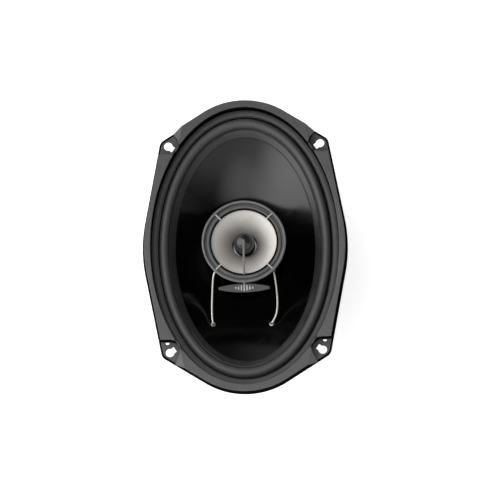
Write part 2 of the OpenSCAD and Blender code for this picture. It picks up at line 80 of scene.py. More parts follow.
ROUTES = {
    "tweeter_lead_left": [(-23.5, -20.2, 7.1), (-24.9, -23.3, 6.2), (-25.8, -30, 3.4), (-26.4, -38, -0.6),
                          (-26.9, -46, -3.8), (-26.9, -53, -5.8), (-26.5, -57, -6.9), (-26.2, -58.4, -7.5)],
    "tweeter_lead_right": [(22.2, -20.6, 7.1), (23, -24, 6.2), (23.9, -30.5, 3.4), (24.5, -38, -0.6),
                           (24.5, -46, -4.2), (23.3, -52.5, -6.6), (21, -57, -8), (19.8, -58.6, -8.7)],
    "woofer_lead_positive": [(-63.7, 6, -26), (-60, 5.5, -27), (-54, 2.5, -29.5), (-48, -4, -32.5),
                             (-42, -14, -35.5), (-33, -26, -37.5), (-21, -38, -37.5), (-8, -48, -35),
                             (5, -55.5, -31), (15, -59, -24), (19, -59.2, -18.5), (19.6, -58.9, -14.5)],
    "woofer_lead_negative": [(-63.7, -6, -26), (-60, -7.5, -27), (-54.5, -13, -29.5), (-49, -22, -31.5),
                             (-43, -34, -31.5), (-36.5, -46, -28.5), (-30.5, -54.5, -23), (-27, -58, -16.6),
                             (-26.2, -58.6, -12.9)],
}
LEAD_D = 1.5
CORNERS = ((1, 1), (-1, 1), (-1, -1), (1, -1))
STAND_X = Matrix(((0, 0, 1, 0), (1, 0, 0, 0), (0, 1, 0, 0), (0, 0, 0, 1)))


# ---------- Camera ----------

def make_camera():
    """A long lens almost straight in front, rolled a little, as the reference view is."""
    azimuth, elevation, roll = radians(11.57), radians(76.07), radians(-12.54)
    distance, seen_width = 6.0, 0.38443
    back = Vector((sin(azimuth) * cos(elevation), -cos(azimuth) * cos(elevation),
                   sin(elevation)))
    level = Vector((cos(azimuth), sin(azimuth), 0))
    upright = back.cross(level)
    right = level * cos(roll) + upright * sin(roll)
    up = back.cross(right)
    data = bpy.data.cameras.new("camera")
    data.sensor_width = 36
    data.lens = data.sensor_width * distance / seen_width
    data.clip_end = 50
    camera = bpy.data.objects.new("camera", data)
    SCENE.collection.objects.link(camera)
    middle = Vector((0, 0, 0.0006)) - right * 0.00021 + up * 0.00232
    place = Matrix((right, up, back)).transposed().to_4x4()
    place.translation = middle + back * distance
    camera.matrix_world = place
    SCENE.camera = camera


make_camera()


# ---------- Mesh helpers ----------

def between(a, b, t):
    return a + (b - a) * t


def smooth_step(t):
    t = min(max(t, 0.0), 1.0)
    return t * t * (3 - 2 * t)


def make_mesh(name, points, faces, smooth=SHARP):
    """A mesh object from points in millimetres. Edges sharper than smooth stay sharp."""
    mesh = bpy.data.meshes.new(name)
    mesh.from_pydata([tuple(c * MM for c in p) for p in points], [], faces)
    mesh.validate()
    tidy = bmesh.new()
    tidy.from_mesh(mesh)
    bmesh.ops.recalc_face_normals(tidy, faces=tidy.faces)
    tidy.to_mesh(mesh)
    tidy.free()
    mesh.shade_smooth()
    mesh.set_sharp_from_angle(angle=smooth)
    piece = bpy.data.objects.new(name, mesh)
    SCENE.collection.objects.link(piece)
    return piece


def grid_faces(rows, columns, wrap_rows=False, wrap_columns=True):
    """Quads over a grid of points stored row by row."""
    last_row = rows if wrap_rows else rows - 1
    last_column = columns if wrap_columns else columns - 1
    corners = ((0, 0), (0, 1), (1, 1), (1, 0))
    return [tuple((i + di) % rows * columns + (j + dj) % columns for di, dj in corners)
            for i in range(last_row) for j in range(last_column)]


def box_corners(x0, y0, x1, y1, edge0, edge1):
    """A rectangle's corners for rounded(), with one radius at its x0 side and one at its x1 side."""
    return [(x0, y0, edge0), (x1, y0, edge1), (x1, y1, edge1), (x0, y1, edge0)]


def around(steps):
    """Angles of equal steps round a full turn."""
    return [2 * pi * k / steps for k in range(steps)]


def rounded(profile, radius=0.4, steps=3):
    """A closed outline of 2-D points with rounded corners. A third number on a point is its own radius."""
    out = []
    n = len(profile)
    for i in range(n):
        a, b, c = (np.array(profile[k % n][:2], float) for k in (i - 1, i, i + 1))
        own = profile[i][2] if len(profile[i]) > 2 else radius
        u, v = a - b, c - b
        reach = min(own, np.linalg.norm(u) * 0.45, np.linalg.norm(v) * 0.45)
        if reach < 0.01:
            out.append(tuple(b))
            continue
        p, q = b + u / np.linalg.norm(u) * reach, b + v / np.linalg.norm(v) * reach
        for k in range(steps + 1):
            t = k / steps
            out.append(tuple((1 - t) ** 2 * p + 2 * t * (1 - t) * b + t ** 2 * q))
    return out


def lathe(name, profile, closed=True, steps=ROUND, place=None):
    """A turned piece from (radius, z) points: a closed profile makes a ring, an open one ends on the axis."""
    wall = profile if closed else profile[1:-1]
    n = len(wall)
    points = [(r * cos(a), r * sin(a), z) for a in around(steps) for r, z in wall]
    faces = grid_faces(steps, n, wrap_rows=True, wrap_columns=closed)
    if not closed:
        first, last = len(points), len(points) + 1
        points += [(0, 0, profile[0][1]), (0, 0, profile[-1][1])]
        for k in range(steps):
            m = (k + 1) % steps
            faces += [(first, m * n, k * n), (last, k * n + n - 1, m * n + n - 1)]
    if place is not None:
        points = [tuple(place @ Vector(p)) for p in points]
    return make_mesh(name, points, faces)


def oval(half_w, half_l, x=0, y=0, steps=OVAL):
    return [(x + half_w * cos(a), y + half_l * sin(a)) for a in around(steps)]


def circle(x, y, r):
    return oval(r, r, x, y, 40)


def oval_loft(name, rows):
    """A piece lofted through ovals of (half width, half length, z), where z may be a function of x and y."""
    points = [(x, y, z(x, y) if callable(z) else z)
              for half_w, half_l, z in rows for x, y in oval(half_w, half_l)]
    return make_mesh(name, points, grid_faces(len(rows), OVAL, wrap_rows=True))


def area_of(loop):
    return sum(a[0] * b[1] - b[0] * a[1] for a, b in zip(loop, loop[1:] + loop[:1])) / 2


def inset(loop, by):
    """A closed loop moved towards its left-hand side."""
    p = np.array(loop, float)
    before, after = p - np.roll(p, 1, 0), np.roll(p, -1, 0) - p
    before /= np.maximum(np.linalg.norm(before, axis=1, keepdims=True), 1e-9)
    after /= np.maximum(np.linalg.norm(after, axis=1, keepdims=True), 1e-9)
    left = np.stack([-(before + after)[:, 1], (before + after)[:, 0]], 1)
    left /= np.maximum(np.linalg.norm(left, axis=1, keepdims=True), 1e-9)
    side = np.stack([-before[:, 1], before[:, 0]], 1)
    miter = np.clip((left * side).sum(1, keepdims=True), 0.5, 1)
    return p + left / miter * by


def plate(name, outer, holes, z0, z1, edge=0.3, foot_edge=None, turn=None):
    """A flat piece with holes and rounded edges, cut from an outline and standing from z0 to z1."""
    foot_edge = edge if foot_edge is None else foot_edge
    loops = [outer if area_of(outer) > 0 else outer[::-1]]
    loops += [h if area_of(h) < 0 else h[::-1] for h in holes]
    support = 0.35
    bend = [radians(a) for a in (0, 30, 60, 90)]
    rings = [(foot_edge + support, z0)]
    rings += [(foot_edge * (1 - sin(a)), z0 + foot_edge * (1 - cos(a))) for a in bend]
    rings += [(edge * (1 - cos(a)), z1 - edge * (1 - sin(a))) for a in bend]
    rings += [(edge + support, z1)]
    points, faces, caps = [], [], {0: [], len(rings) - 1: []}
    for loop in loops:
        start, n = len(points), len(loop)
        for by, z in rings:
            points += [(x, y, z) for x, y in inset(loop, by)]
        faces += [tuple(start + i for i in f) for f in grid_faces(len(rings), n)]
        for k in caps:
            caps[k].append(range(start + k * n, start + (k + 1) * n))
    for k, ranges in caps.items():
        order = [i for r in ranges for i in r]
        found = tessellate_polygon([[Vector(points[i]) for i in r] for r in ranges])
        faces += [tuple(order[i] for i in tri) for tri in found]
    if turn is not None:
        points = [tuple(turn @ Vector(p)) for p in points]
    return make_mesh(name, points, faces)


def solidify(piece, thickness):
    """Gives a sheet its thickness in millimetres, half on each side, and applies it."""
    thick = piece.modifiers.new("thickness", "SOLIDIFY")
    thick.thickness, thick.offset, thick.use_even_offset = thickness * MM, 0, True
    return applied(piece)


def applied(piece):
    """Replaces a piece's mesh with the result of its modifiers."""
    graph = bpy.context.evaluated_depsgraph_get()
    mesh = bpy.data.meshes.new_from_object(piece.evaluated_get(graph))
    piece.modifiers.clear()
    piece.data = mesh
    mesh.shade_smooth()
    mesh.set_sharp_from_angle(angle=SHARP)
    return piece


def joined(name, pieces):
    """Several mesh objects as one."""
    whole = bmesh.new()
    for piece in pieces:
        whole.from_mesh(piece.data)
    mesh = bpy.data.meshes.new(name)
    whole.to_mesh(mesh)
    whole.free()
    for material in pieces[0].data.materials:
        mesh.materials.append(material)
    mesh.shade_smooth()
    mesh.set_sharp_from_angle(angle=SHARP)
    for piece in pieces:
        bpy.data.objects.remove(piece)
    out = bpy.data.objects.new(name, mesh)
    SCENE.collection.objects.link(out)
    return out


def smooth_route(route, steps=12):
    """The CAD's own smooth line through a lead's points."""
    p = np.array(route, float)
    n = len(p)
    out = []
    for i in range(n - 1):
        a, b, c, d = p[max(i - 1, 0)], p[i], p[i + 1], p[min(i + 2, n - 1)]
        for k in range(steps):
            t = k / steps
            out.append((2 * b + (c - a) * t + (2 * a - 5 * b + 4 * c - d) * t * t
                        + (3 * b - a - 3 * c + d) * t ** 3) / 2)
    return np.array(out + [p[-1]])


# ---------- Materials ----------

class Nodes:
    """Short calls for the nodes of one tree. An input is a number, a colour or another node's output."""

    def __init__(self, tree):
        self.tree = tree

    def node(self, kind, inputs=None, **settings):
        """A new node with its inputs fed, by name or number."""
        made = self.tree.nodes.new(kind)
        for key, value in settings.items():
            setattr(made, key, value)
        for key, value in (inputs or {}).items():
            self.feed(made.inputs[key], value)
        return made

    def feed(self, socket, value):
        if isinstance(value, (int, float)):
            socket.default_value = value
        elif isinstance(value, (tuple, list)):
            socket.default_value = (*value, 1) if len(socket.default_value) == 4 else value
        else:
            self.tree.links.new(value, socket)

    def math(self, how, a, b=0.0):
        return self.node("ShaderNodeMath", {0: a, 1: b}, operation=how).outputs[0]

    def vector_math(self, how, a, b=(0, 0, 0)):
        return self.node("ShaderNodeVectorMath", {0: a, 1: b}, operation=how).outputs

    def part_of(self, vector, axis):
        return self.node("ShaderNodeSeparateXYZ", {0: vector}).outputs[axis]

    def ramp(self, value, low, high, start=0.3, end=0.7, curve="LINEAR"):
        """A value turned into a number or a colour between low and high."""
        if isinstance(low, (tuple, list)):
            made = self.node("ShaderNodeValToRGB", {"Fac": value})
            for stop, place, colour in zip(made.color_ramp.elements, (start, end), (low, high)):
                stop.position, stop.color = place, (*colour, 1)
            return made.outputs["Color"]
        sizes = {"Value": value, "From Min": start, "From Max": end, "To Min": low, "To Max": high}
        return self.node("ShaderNodeMapRange", sizes, interpolation_type=curve).outputs["Result"]


class Finish(Nodes):
    """One Principled material, with its patterns in object space."""

    def __init__(self, name, metallic=0.0, **fixed):
        self.material = bpy.data.materials.new(name)
        self.material.use_nodes = True
        super().__init__(self.material.node_tree)
        self.shader = self.tree.nodes["Principled BSDF"]
        self.shader.inputs["Metallic"].default_value = metallic
        for socket, value in fixed.items():
            self.shader.inputs[socket.replace("_", " ")].default_value = value
        self.place = self.node("ShaderNodeTexCoord").outputs["Object"]
        self.height = None

    def stretch(self, scale):
        """Object coordinates scaled by (x, y, z), for grain with a direction."""
        return self.node("ShaderNodeMapping", {"Scale": scale, "Vector": self.place}).outputs["Vector"]

    def noise(self, per_metre, detail=4.0, rough=0.55, vector=None):
        sizes = {"Scale": per_metre, "Detail": detail, "Roughness": rough, "Vector": vector or self.place}
        return self.node("ShaderNodeTexNoise", sizes).outputs["Fac"]

    def cells(self, per_metre):
        sizes = {"Scale": per_metre, "Vector": self.place}
        return self.node("ShaderNodeTexVoronoi", sizes).outputs["Distance"]

    def wave(self, per_metre, distortion=0.0, **settings):
        sizes = {"Scale": per_metre, "Distortion": distortion, "Vector": self.place}
        return self.node("ShaderNodeTexWave", sizes, **settings).outputs["Fac"]

    def mixed(self, factor, a, b, how="MIX"):
        mix = self.node("ShaderNodeMix", data_type="RGBA", blend_type=how)
        for key, value in (("Factor", factor), (6, a), (7, b)):
            self.feed(mix.inputs[key], value)
        return mix.outputs[2]

    def greys(self, value, low, high, start=0.3, end=0.7):
        return self.ramp(value, grey(low), grey(high), start, end)

    def colour(self, output):
        self.feed(self.shader.inputs["Base Color"], output)

    def rough(self, value, low, high):
        self.feed(self.shader.inputs["Roughness"], self.ramp(value, low, high))

    def bump(self, value, depth_mm, strength=1.0):
        """Adds relief of that depth over the relief already there."""
        sizes = {"Distance": depth_mm * MM, "Strength": strength, "Height": value}
        if self.height is not None:
            sizes["Normal"] = self.height
        self.height = self.node("ShaderNodeBump", sizes).outputs["Normal"]
        self.feed(self.shader.inputs["Normal"], self.height)
        return self


def grey(value):
    return (value, value, value)


def black_steel(name, dark, light, shine, coat):
    """Black coating with a fine orange peel, faint dust, and wear where edges stand proud."""
    f = Finish(name, Specular_IOR_Level=shine, Coat_Weight=coat, Coat_Roughness=0.3)
    peel = f.noise(900, 3)
    cloud = f.noise(35, 5)
    edge = f.ramp(f.node("ShaderNodeNewGeometry").outputs["Pointiness"], 0.0, 0.5, 0.52, 0.6)
    worn = f.math("MULTIPLY", edge, f.ramp(f.noise(260, 5), 0.0, 1.0, 0.45, 0.7))
    f.colour(f.mixed(worn, f.greys(cloud, dark, light), grey(6 * light)))
    f.rough(cloud, 0.36, 0.52)
    return f.bump(peel, 0.03, 0.6).material


def trim_foam():
    """Grey moulded trim with a mottled, finely pitted face, darker towards +Y as painted shade."""
    f = Finish("trim_foam", Specular_IOR_Level=0.35)
    speck = f.noise(1100, 3, 0.7)
    cloud = f.noise(90, 5, 0.6)
    fine = f.greys(speck, 0.05, 0.122, 0.33, 0.67)
    broad = f.greys(cloud, 0.074, 0.1, 0.3, 0.7)
    # Painted shade: the colour falls to 70 % towards the +Y end, where less light falls.
    painted_top_shade = f.ramp(f.part_of(f.place, "Y"), 1.0, 0.7, 0.0, 0.11)
    f.colour(f.mixed(1.0, f.mixed(0.5, fine, broad), painted_top_shade, "MULTIPLY"))
    f.rough(speck, 0.62, 0.85)
    return f.bump(f.cells(1500), 0.05, 0.5).bump(speck, 0.06, 0.5).material


def trim_wall_painted_shade():
    """The trim's walls, coloured near black as painted shade."""
    f = Finish("trim_wall_painted_shade", Specular_IOR_Level=0.0)
    speck = f.noise(700, 3)
    f.colour(f.greys(speck, 0.002, 0.005))
    f.rough(speck, 0.45, 0.65)
    return f.bump(speck, 0.03, 0.5).material


def surround_rubber():
    """Butyl rubber: satin, with a slight bloom and fine moulding texture."""
    f = Finish("surround_rubber", Specular_IOR_Level=0.5)
    cloud = f.noise(60, 5, 0.6)
    fine = f.noise(1400, 2)
    f.colour(f.mixed(0.35, f.greys(cloud, 0.041, 0.056), f.greys(fine, 0.03, 0.07)))
    f.rough(cloud, 0.46, 0.6)
    return f.bump(fine, 0.02, 0.5).material


def cone_gloss():
    """Glossy black cone with a very slight waviness and a few dust specks."""
    f = Finish("cone_gloss", Coat_Weight=0.0, IOR=1.5)
    wave = f.noise(28, 2, 0.4)
    dust = f.ramp(f.cells(420), 1.0, 0.0, 0.0, 0.055)
    patch = f.ramp(f.noise(30, 3), 0.0, 0.5, 0.55, 0.8)
    specks = f.math("MULTIPLY", dust, patch)
    base = f.greys(f.noise(45, 4), 0.0003, 0.0006)
    f.colour(f.mixed(specks, base, grey(0.05)))
    f.rough(f.noise(160, 4), 0.10, 0.16)
    return f.bump(wave, 0.25, 0.35).material


def lip_rubber():
    """The surround's glued lip: smoother and darker than the roll."""
    f = Finish("lip_rubber", Specular_IOR_Level=0.5)
    cloud = f.noise(80, 4)
    f.colour(f.greys(cloud, 0.016, 0.024))
    f.rough(cloud, 0.26, 0.36)
    return f.bump(f.noise(900, 2), 0.02, 0.4).material


def silver_film():
    """Silver tweeter cone: pearly, with fine radial draw marks, and darker towards the neck as painted shade.
    """
    f = Finish("silver_film", metallic=0.12)
    turn = f.node("ShaderNodeTexGradient", {"Vector": f.place}, gradient_type="RADIAL").outputs["Fac"]
    marks = 180
    spokes = f.math("SINE", f.math("MULTIPLY", turn, 2 * pi * marks))
    cloud = f.noise(160, 5)
    film = f.mixed(0.4, f.ramp(cloud, (0.53, 0.5, 0.47), (0.62, 0.59, 0.56)),
                   f.ramp(f.noise(1500, 2), (0.45, 0.43, 0.4), (0.66, 0.63, 0.59)))
    flat = f.vector_math("MULTIPLY", f.place, (1, 1, 0))["Vector"]
    radius = f.vector_math("LENGTH", flat)["Value"]
    # Painted shade: the colour falls to 42 % towards the neck round the plug.
    f.colour(f.mixed(1.0, film, f.ramp(radius, 0.42, 1.0, 0.0105, 0.0235), "MULTIPLY"))
    f.rough(cloud, 0.36, 0.48)
    return f.bump(spokes, 0.015, 0.3).bump(f.noise(1300, 2), 0.015, 0.4).material


def moulded(name, dark, light, rough=(0.4, 0.55), depth=0.03, grain=900, coat=0.0, shine=0.5):
    """Moulded plastic between two colours or two numbers for greys, finely textured in gloss and relief."""
    dark, light = (c if isinstance(c, tuple) else grey(c) for c in (dark, light))
    f = Finish(name, Coat_Weight=coat, Coat_Roughness=0.1, Specular_IOR_Level=shine)
    fine = f.noise(grain, 3)
    f.colour(f.mixed(0.5, f.ramp(f.noise(70, 4), dark, light), f.ramp(fine, dark, light)))
    f.rough(f.noise(220, 4), *rough)
    return f.bump(fine, depth, 0.5).material


def plated(name, dark, light, rough=(0.28, 0.42), turned=False):
    """Plated or bare metal with turning marks or a random scuffed grain."""
    f = Finish(name, metallic=1.0)
    cloud = f.noise(60, 5)
    grain = f.wave(900, 1.5, wave_type="RINGS", rings_direction="Z") if turned else f.noise(700, 4)
    f.colour(f.mixed(0.4, f.ramp(cloud, dark, light), f.ramp(grain, dark, light)))
    f.rough(cloud, *rough)
    return f.bump(grain, 0.012, 0.4).material


def ferrite():
    """Sintered ferrite: charcoal, matt, with pits and grinding scratches."""
    f = Finish("ferrite", Specular_IOR_Level=0.4)
    pits = f.ramp(f.cells(330), 1.0, 0.0, 0.0, 0.2)
    cloud = f.noise(120, 6)
    f.colour(f.mixed(0.3, f.greys(cloud, 0.022, 0.042), f.greys(pits, 0.03, 0.014)))
    f.rough(cloud, 0.6, 0.85)
    scratches = f.noise(300, 3, vector=f.stretch((1, 1, 9)))
    return f.bump(pits, -0.12, 0.7).bump(scratches, 0.05, 0.4).material


def spider_cloth():
    """Resin-stiffened amber cloth with a woven relief."""
    f = Finish("spider_cloth", Specular_IOR_Level=0.3)
    warp, weft = (f.wave(520, 0.6, bands_direction=axis) for axis in "XY")
    weave = f.math("MAXIMUM", warp, weft)
    cloud = f.noise(90, 5)
    f.colour(f.mixed(0.45, f.ramp(cloud, (0.34, 0.19, 0.055), (0.52, 0.33, 0.12)),
                     f.ramp(weave, (0.2, 0.1, 0.03), (0.56, 0.37, 0.15))))
    f.rough(cloud, 0.7, 0.9)
    return f.bump(weave, 0.1, 0.8).material


def braid(name, dark, light):
    """Braided tinsel wire: its strands are in the mesh, and this adds their sparkle."""
    f = Finish(name, metallic=0.7)
    strands = f.noise(2600, 2, vector=f.stretch((1, 1, 0.6)))
    f.colour(f.ramp(strands, dark, light, 0.35, 0.65))
    f.rough(strands, 0.3, 0.5)
    return f.bump(strands, 0.04, 0.7).material


def copper_winding():
    """Enamelled copper turns stacked along Z."""
    f = Finish("copper_winding", metallic=0.9)
    turns = f.wave(620, bands_direction="Z")
    f.colour(f.ramp(turns, (0.3, 0.08, 0.03), (0.72, 0.3, 0.12), 0.1, 0.9))
    f.rough(f.noise(300, 3), 0.2, 0.35)
    return f.bump(turns, 0.1, 0.8).material


def fibre_board():
    """Pressed phenolic board with flecks of fibre."""
    f = Finish("fibre_board", Specular_IOR_Level=0.5)
    flecks = f.noise(420, 6, 0.7, f.stretch((1, 3, 0.6)))
    f.colour(f.ramp(flecks, (0.10, 0.045, 0.018), (0.24, 0.125, 0.055)))
    f.rough(f.noise(150, 3), 0.35, 0.5)
    return f.bump(flecks, 0.03, 0.5).material


def floor_finish():
    """Pale seamless floor, slightly lit from below so that shadows stay faint."""
    f = Finish("studio_floor", Specular_IOR_Level=0.0, Roughness=1.0, Emission_Strength=0.6)
    f.colour(f.greys(f.noise(3, 2), 0.84, 0.86))
    f.shader.inputs["Emission Color"].default_value = (1, 1, 1, 1)
    return f.material


LOOKS = {
    "steel": black_steel("black_steel", 0.010, 0.019, 0.5, 0.3),
    # The flange: the same black steel, darker and nearly without shine, as painted shade on its edges.
    "rim": black_steel("black_steel_painted_shade", 0.0015, 0.003, 0.02, 0.0),
    "trim": trim_foam(),
    "trim_wall_painted_shade": trim_wall_painted_shade(),
    "rubber": surround_rubber(),
    "lip": lip_rubber(),
    # The surround's creases: near-black rubber, painted shade where the grooves fall dark.
    "groove": moulded("rubber_crease_painted_shade", 0.003, 0.006, (0.6, 0.8), 0.02, 1200, shine=0.05),
    "cone": cone_gloss(),
    "silver": silver_film(),
    "roll": moulded("tweeter_roll", 0.075, 0.125, (0.45, 0.6), 0.03, 1500),
    "housing": moulded("housing_black", 0.006, 0.012, (0.36, 0.5), shine=0.3),
    "guard": moulded("guard_grey", 0.095, 0.14, (0.38, 0.5), 0.02),
    # The ribs: the guard's plastic much lighter, a painted highlight along them.
    "rib": moulded("guard_painted_highlight", (0.34, 0.33, 0.31), (0.46, 0.45, 0.43), (0.3, 0.4), 0.01),
    # The guard's inner ring: the guard's plastic near black, painted shade.
    "guard_painted_shade": moulded("guard_painted_shade", 0.001, 0.003, (0.3, 0.4), shine=0.05),
    "plug": moulded("plug_gloss", 0.006, 0.010, (0.06, 0.12), 0.004, 500, coat=0.3),
    "badge": moulded("badge_grey", 0.03, 0.055, (0.3, 0.42), 0.02, 1200),
    "badge_mark": moulded("badge_mark", (0.4, 0.4, 0.38), (0.52, 0.52, 0.5), (0.3, 0.4), 0.01),
    "post": moulded("post_black", 0.004, 0.008, (0.35, 0.5), shine=0.1),
    "zinc": plated("zinc_plate", (0.5, 0.5, 0.5), (0.66, 0.67, 0.68)),
    "yoke": plated("yoke_plate", (0.36, 0.36, 0.35), (0.52, 0.52, 0.5), (0.3, 0.45), turned=True),
    "tin": plated("tin_plate", (0.6, 0.59, 0.56), (0.76, 0.75, 0.72), (0.25, 0.4)),
    "brass": plated("brass_plate", (0.55, 0.38, 0.14), (0.74, 0.55, 0.24), (0.25, 0.38)),
    "eyelet": plated("eyelet_metal", (0.2, 0.18, 0.15), (0.38, 0.35, 0.3), (0.35, 0.5)),
    "ferrite": ferrite(),
    "cloth": spider_cloth(),
    "film": moulded("former_film", (0.30, 0.14, 0.03), (0.42, 0.22, 0.06), (0.2, 0.3), 0.01),
    "copper": copper_winding(),
    "board": fibre_board(),
    "sleeve": moulded("capacitor_sleeve", (0.008, 0.035, 0.16), (0.014, 0.06, 0.24), (0.15, 0.25), 0.01),
    "tinsel": braid("tinned_braid", (0.42, 0.38, 0.34), (0.85, 0.8, 0.75)),
    "copper_braid": braid("copper_braid", (0.3, 0.12, 0.05), (0.75, 0.4, 0.22)),
}


def paint(piece, *looks):
    """Replaces a piece's materials."""
    piece.data.materials.clear()
    for look in looks:
        piece.data.materials.append(LOOKS[look])


def finish_piece(piece, look, slot, *nodes, body="chassis"):
    """Gives a piece its look, makes it ride on a body and stand for CAD nodes. The slot is not used."""
    if look is not None:
        paint(piece, look)
    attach(piece, body)
    if nodes:
        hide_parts(*nodes)


def dress_node(node, look):
    """Gives a CAD node that stays visible its own look."""
    piece = NODES[node]
    for slot in piece.material_slots:
        slot.material = LOOKS[look]
    piece.data.shade_smooth()
    piece.data.set_sharp_from_angle(angle=radians(25))


# ---------- Outlines ----------

EAR_FROM, EAR_TO = 10.8, 57.7        # headings of the flange's edge on either side of an ear, in degrees


def arc(cx, cy, r, a0, a1, steps):
    return [(cx + r * cos(radians(a0 + (a1 - a0) * k / steps)),
             cy + r * sin(radians(a0 + (a1 - a0) * k / steps))) for k in range(steps + 1)]


def outline_quarter(side_in, end_in):
    """One quarter of the flange's edge: side arc, ear corner, end arc, set in by given amounts."""
    half_w, half_l, side_r, end_r = 80.6, 117.6, 115.0, 60.0
    side_angle, end_angle = radians(EAR_FROM), radians(EAR_TO)
    corner_r = 7 - side_in / 2
    side_reach = (half_w - side_r) * cos(side_angle) + side_r - side_in - corner_r
    end_reach = (half_l - end_r) * sin(end_angle) + end_r - end_in - corner_r
    det = sin(end_angle - side_angle)
    cx = (side_reach * sin(end_angle) - end_reach * sin(side_angle)) / det
    cy = (end_reach * cos(side_angle) - side_reach * cos(end_angle)) / det
    return (arc(half_w - side_r, 0, side_r - side_in, 0, EAR_FROM, 12)
            + arc(cx, cy, corner_r, EAR_FROM, EAR_TO, 14)
            + arc(0, half_l - end_r, end_r - end_in, EAR_TO, 90, 24))


def four_quarters(quarter):
    """A closed loop from one quarter that runs from the +X axis to the +Y axis."""
    loop = []
    for sx, sy in CORNERS:
        part = [(sx * x, sy * y) for x, y in quarter[::sx * sy]]
        loop += [p for p in part if not loop or dist(p, loop[-1]) > 0.01]
    return loop[:-1] if dist(loop[0], loop[-1]) < 0.01 else loop


def bolt_hole(sx, sy):
    """Round hole with a narrower square end towards the middle."""
    r, half, reach, slant = 3.4, 2.3, 5.0, radians(35)
    turn = atan2(-sy * sin(slant), -sx * cos(slant))
    open_angle = degrees(asin(half / r))
    shape = [(reach, -half), (reach, half)] + arc(0, 0, r, open_angle, 360 - open_angle, 32)
    return [(sx * BOLT_X + x * cos(turn) - y * sin(turn),
             sy * BOLT_Y + x * sin(turn) + y * cos(turn)) for x, y in shape]


def crossing(loop, origin, heading):
    """Where a ray from an origin first crosses an outline: (number of the point before it, place)."""
    ahead, away = Vector(heading), Vector(origin)
    for i, (a, b) in enumerate(zip(loop, loop[1:])):
        side_a, side_b = (ahead.cross(Vector(p) - away) for p in (a, b))
        if side_a * side_b <= 0 and side_a != side_b:
            point = Vector(a).lerp(Vector(b), side_a / (side_a - side_b))
            if ahead.dot(point - away) > 0:
                return i, tuple(point)
    raise ValueError("the ear's cut misses the outline")


def split_at_ear(quarter, r):
    """A quarter outline parted by the round cut about the bolt: (band outline, ear pad outline)."""
    inner = arc(BOLT_X, BOLT_Y, r, 270, 90 + EAR_TO, 24)
    i, first = crossing(quarter, inner[0], (1, 0))
    j, second = crossing(quarter, inner[-1], (cos(radians(EAR_TO)), sin(radians(EAR_TO))))
    band = quarter[:i + 1] + [first] + inner + [second] + quarter[j + 1:]
    pad = [first] + quarter[i + 1:j + 1] + [second] + inner[::-1]
    return band, pad


# ---------- Chassis ----------

FLANGE_OPENING = (68.8, 105.8)
TRIM_OPENING = (74.0, 111.6)
TRIM_TOP = 11.1


def make_flange():
    holes = [bolt_hole(sx, sy) for sx in (1, -1) for sy in (1, -1)]
    holes += [circle(sx * PIN_X, PIN_Y, 1.5) for sx in (1, -1)]
    holes.append(oval(*FLANGE_OPENING))
    return plate("basket_flange", four_quarters(outline_quarter(0, 0)), holes, 0, SHEET, 0.35)


WALL_PATH = [(0.8, 69.2, 106.2), (-2.5, 68.7, 105.7), (-5.5, 68.3, 105.2), (-6.6, 67.9, 104.6),
             (-46.0, 52.4, 52.4)]        # (z, half width, half length)
LEG = 18.0                               # half width of a leg between two windows
WINDOW_TOP, WINDOW_BOTTOM, WINDOW_CORNER = -9.0, -41.0, 6.0
GAP_HALF, GAP_TOP, GAP_BOTTOM = 11.0, -17.0, -38.0      # opening behind the terminals


def wall_size(z):
    """Half width and half length of the wall at a height."""
    for (za, wa, la), (zb, wb, lb) in zip(WALL_PATH, WALL_PATH[1:]):
        if zb <= z <= za:
            t = (za - z) / (za - zb)
            return between(wa, wb, t), between(la, lb, t)
    return WALL_PATH[-1][1:]


def leg_half(z):
    """Half width of a leg, which widens round the windows' corners."""
    d = min(WINDOW_TOP - z, z - WINDOW_BOTTOM)
    if d >= WINDOW_CORNER:
        return LEG
    return LEG + WINDOW_CORNER - sqrt(WINDOW_CORNER ** 2 - (WINDOW_CORNER - max(d, 0)) ** 2)


def wall_heights():
    fillet = [0.0, 0.15, 0.5, 1.1, 1.9, 3.0, 4.4, 6.0]
    heights = [0.8, -1.0, -2.5, -4.2, -5.5, -6.1, -6.6, -7.2, -8.0]
    heights += [WINDOW_TOP - d for d in fillet] + [GAP_TOP, -21, -25, -29, -33]
    heights += [WINDOW_BOTTOM + d for d in fillet if WINDOW_BOTTOM + d < -33]
    return sorted(set(heights + [GAP_BOTTOM, -42.5, -44, -45.2, -46]), reverse=True)


def wall_angles(z, across, n_window):
    """Angles of the wall's columns at a height, closer together on the legs than over the windows."""
    half_w, half_l = wall_size(z)
    h = leg_half(z)
    low, high = asin(h / half_l), acos(h / half_w)
    quarter = [asin(a * h / half_l) for a in across]
    quarter += [low + (high - low) * k / n_window for k in range(1, n_window)]
    quarter += [acos(a * h / half_w) for a in reversed(across)]
    half = quarter[:-1] + [pi - a for a in reversed(quarter)][:-1]
    return half + [pi + a for a in half]


def wall_point(z, angle):
    """A point of the wall, stood out by the rib down the middle of a leg."""
    half_w, half_l = wall_size(z)
    x, y = half_w * cos(angle), half_l * sin(angle)
    rib = 1.5 * smooth_step((0.58 - min(abs(x), abs(y)) / LEG) / 0.2)
    rib *= smooth_step((-8.5 - z) / 3.5) * smooth_step((z + 44.5) / 3)
    normal = Vector((x / half_w ** 2, y / half_l ** 2, 0)).normalized()
    return x + normal.x * rib, y + normal.y * rib, z


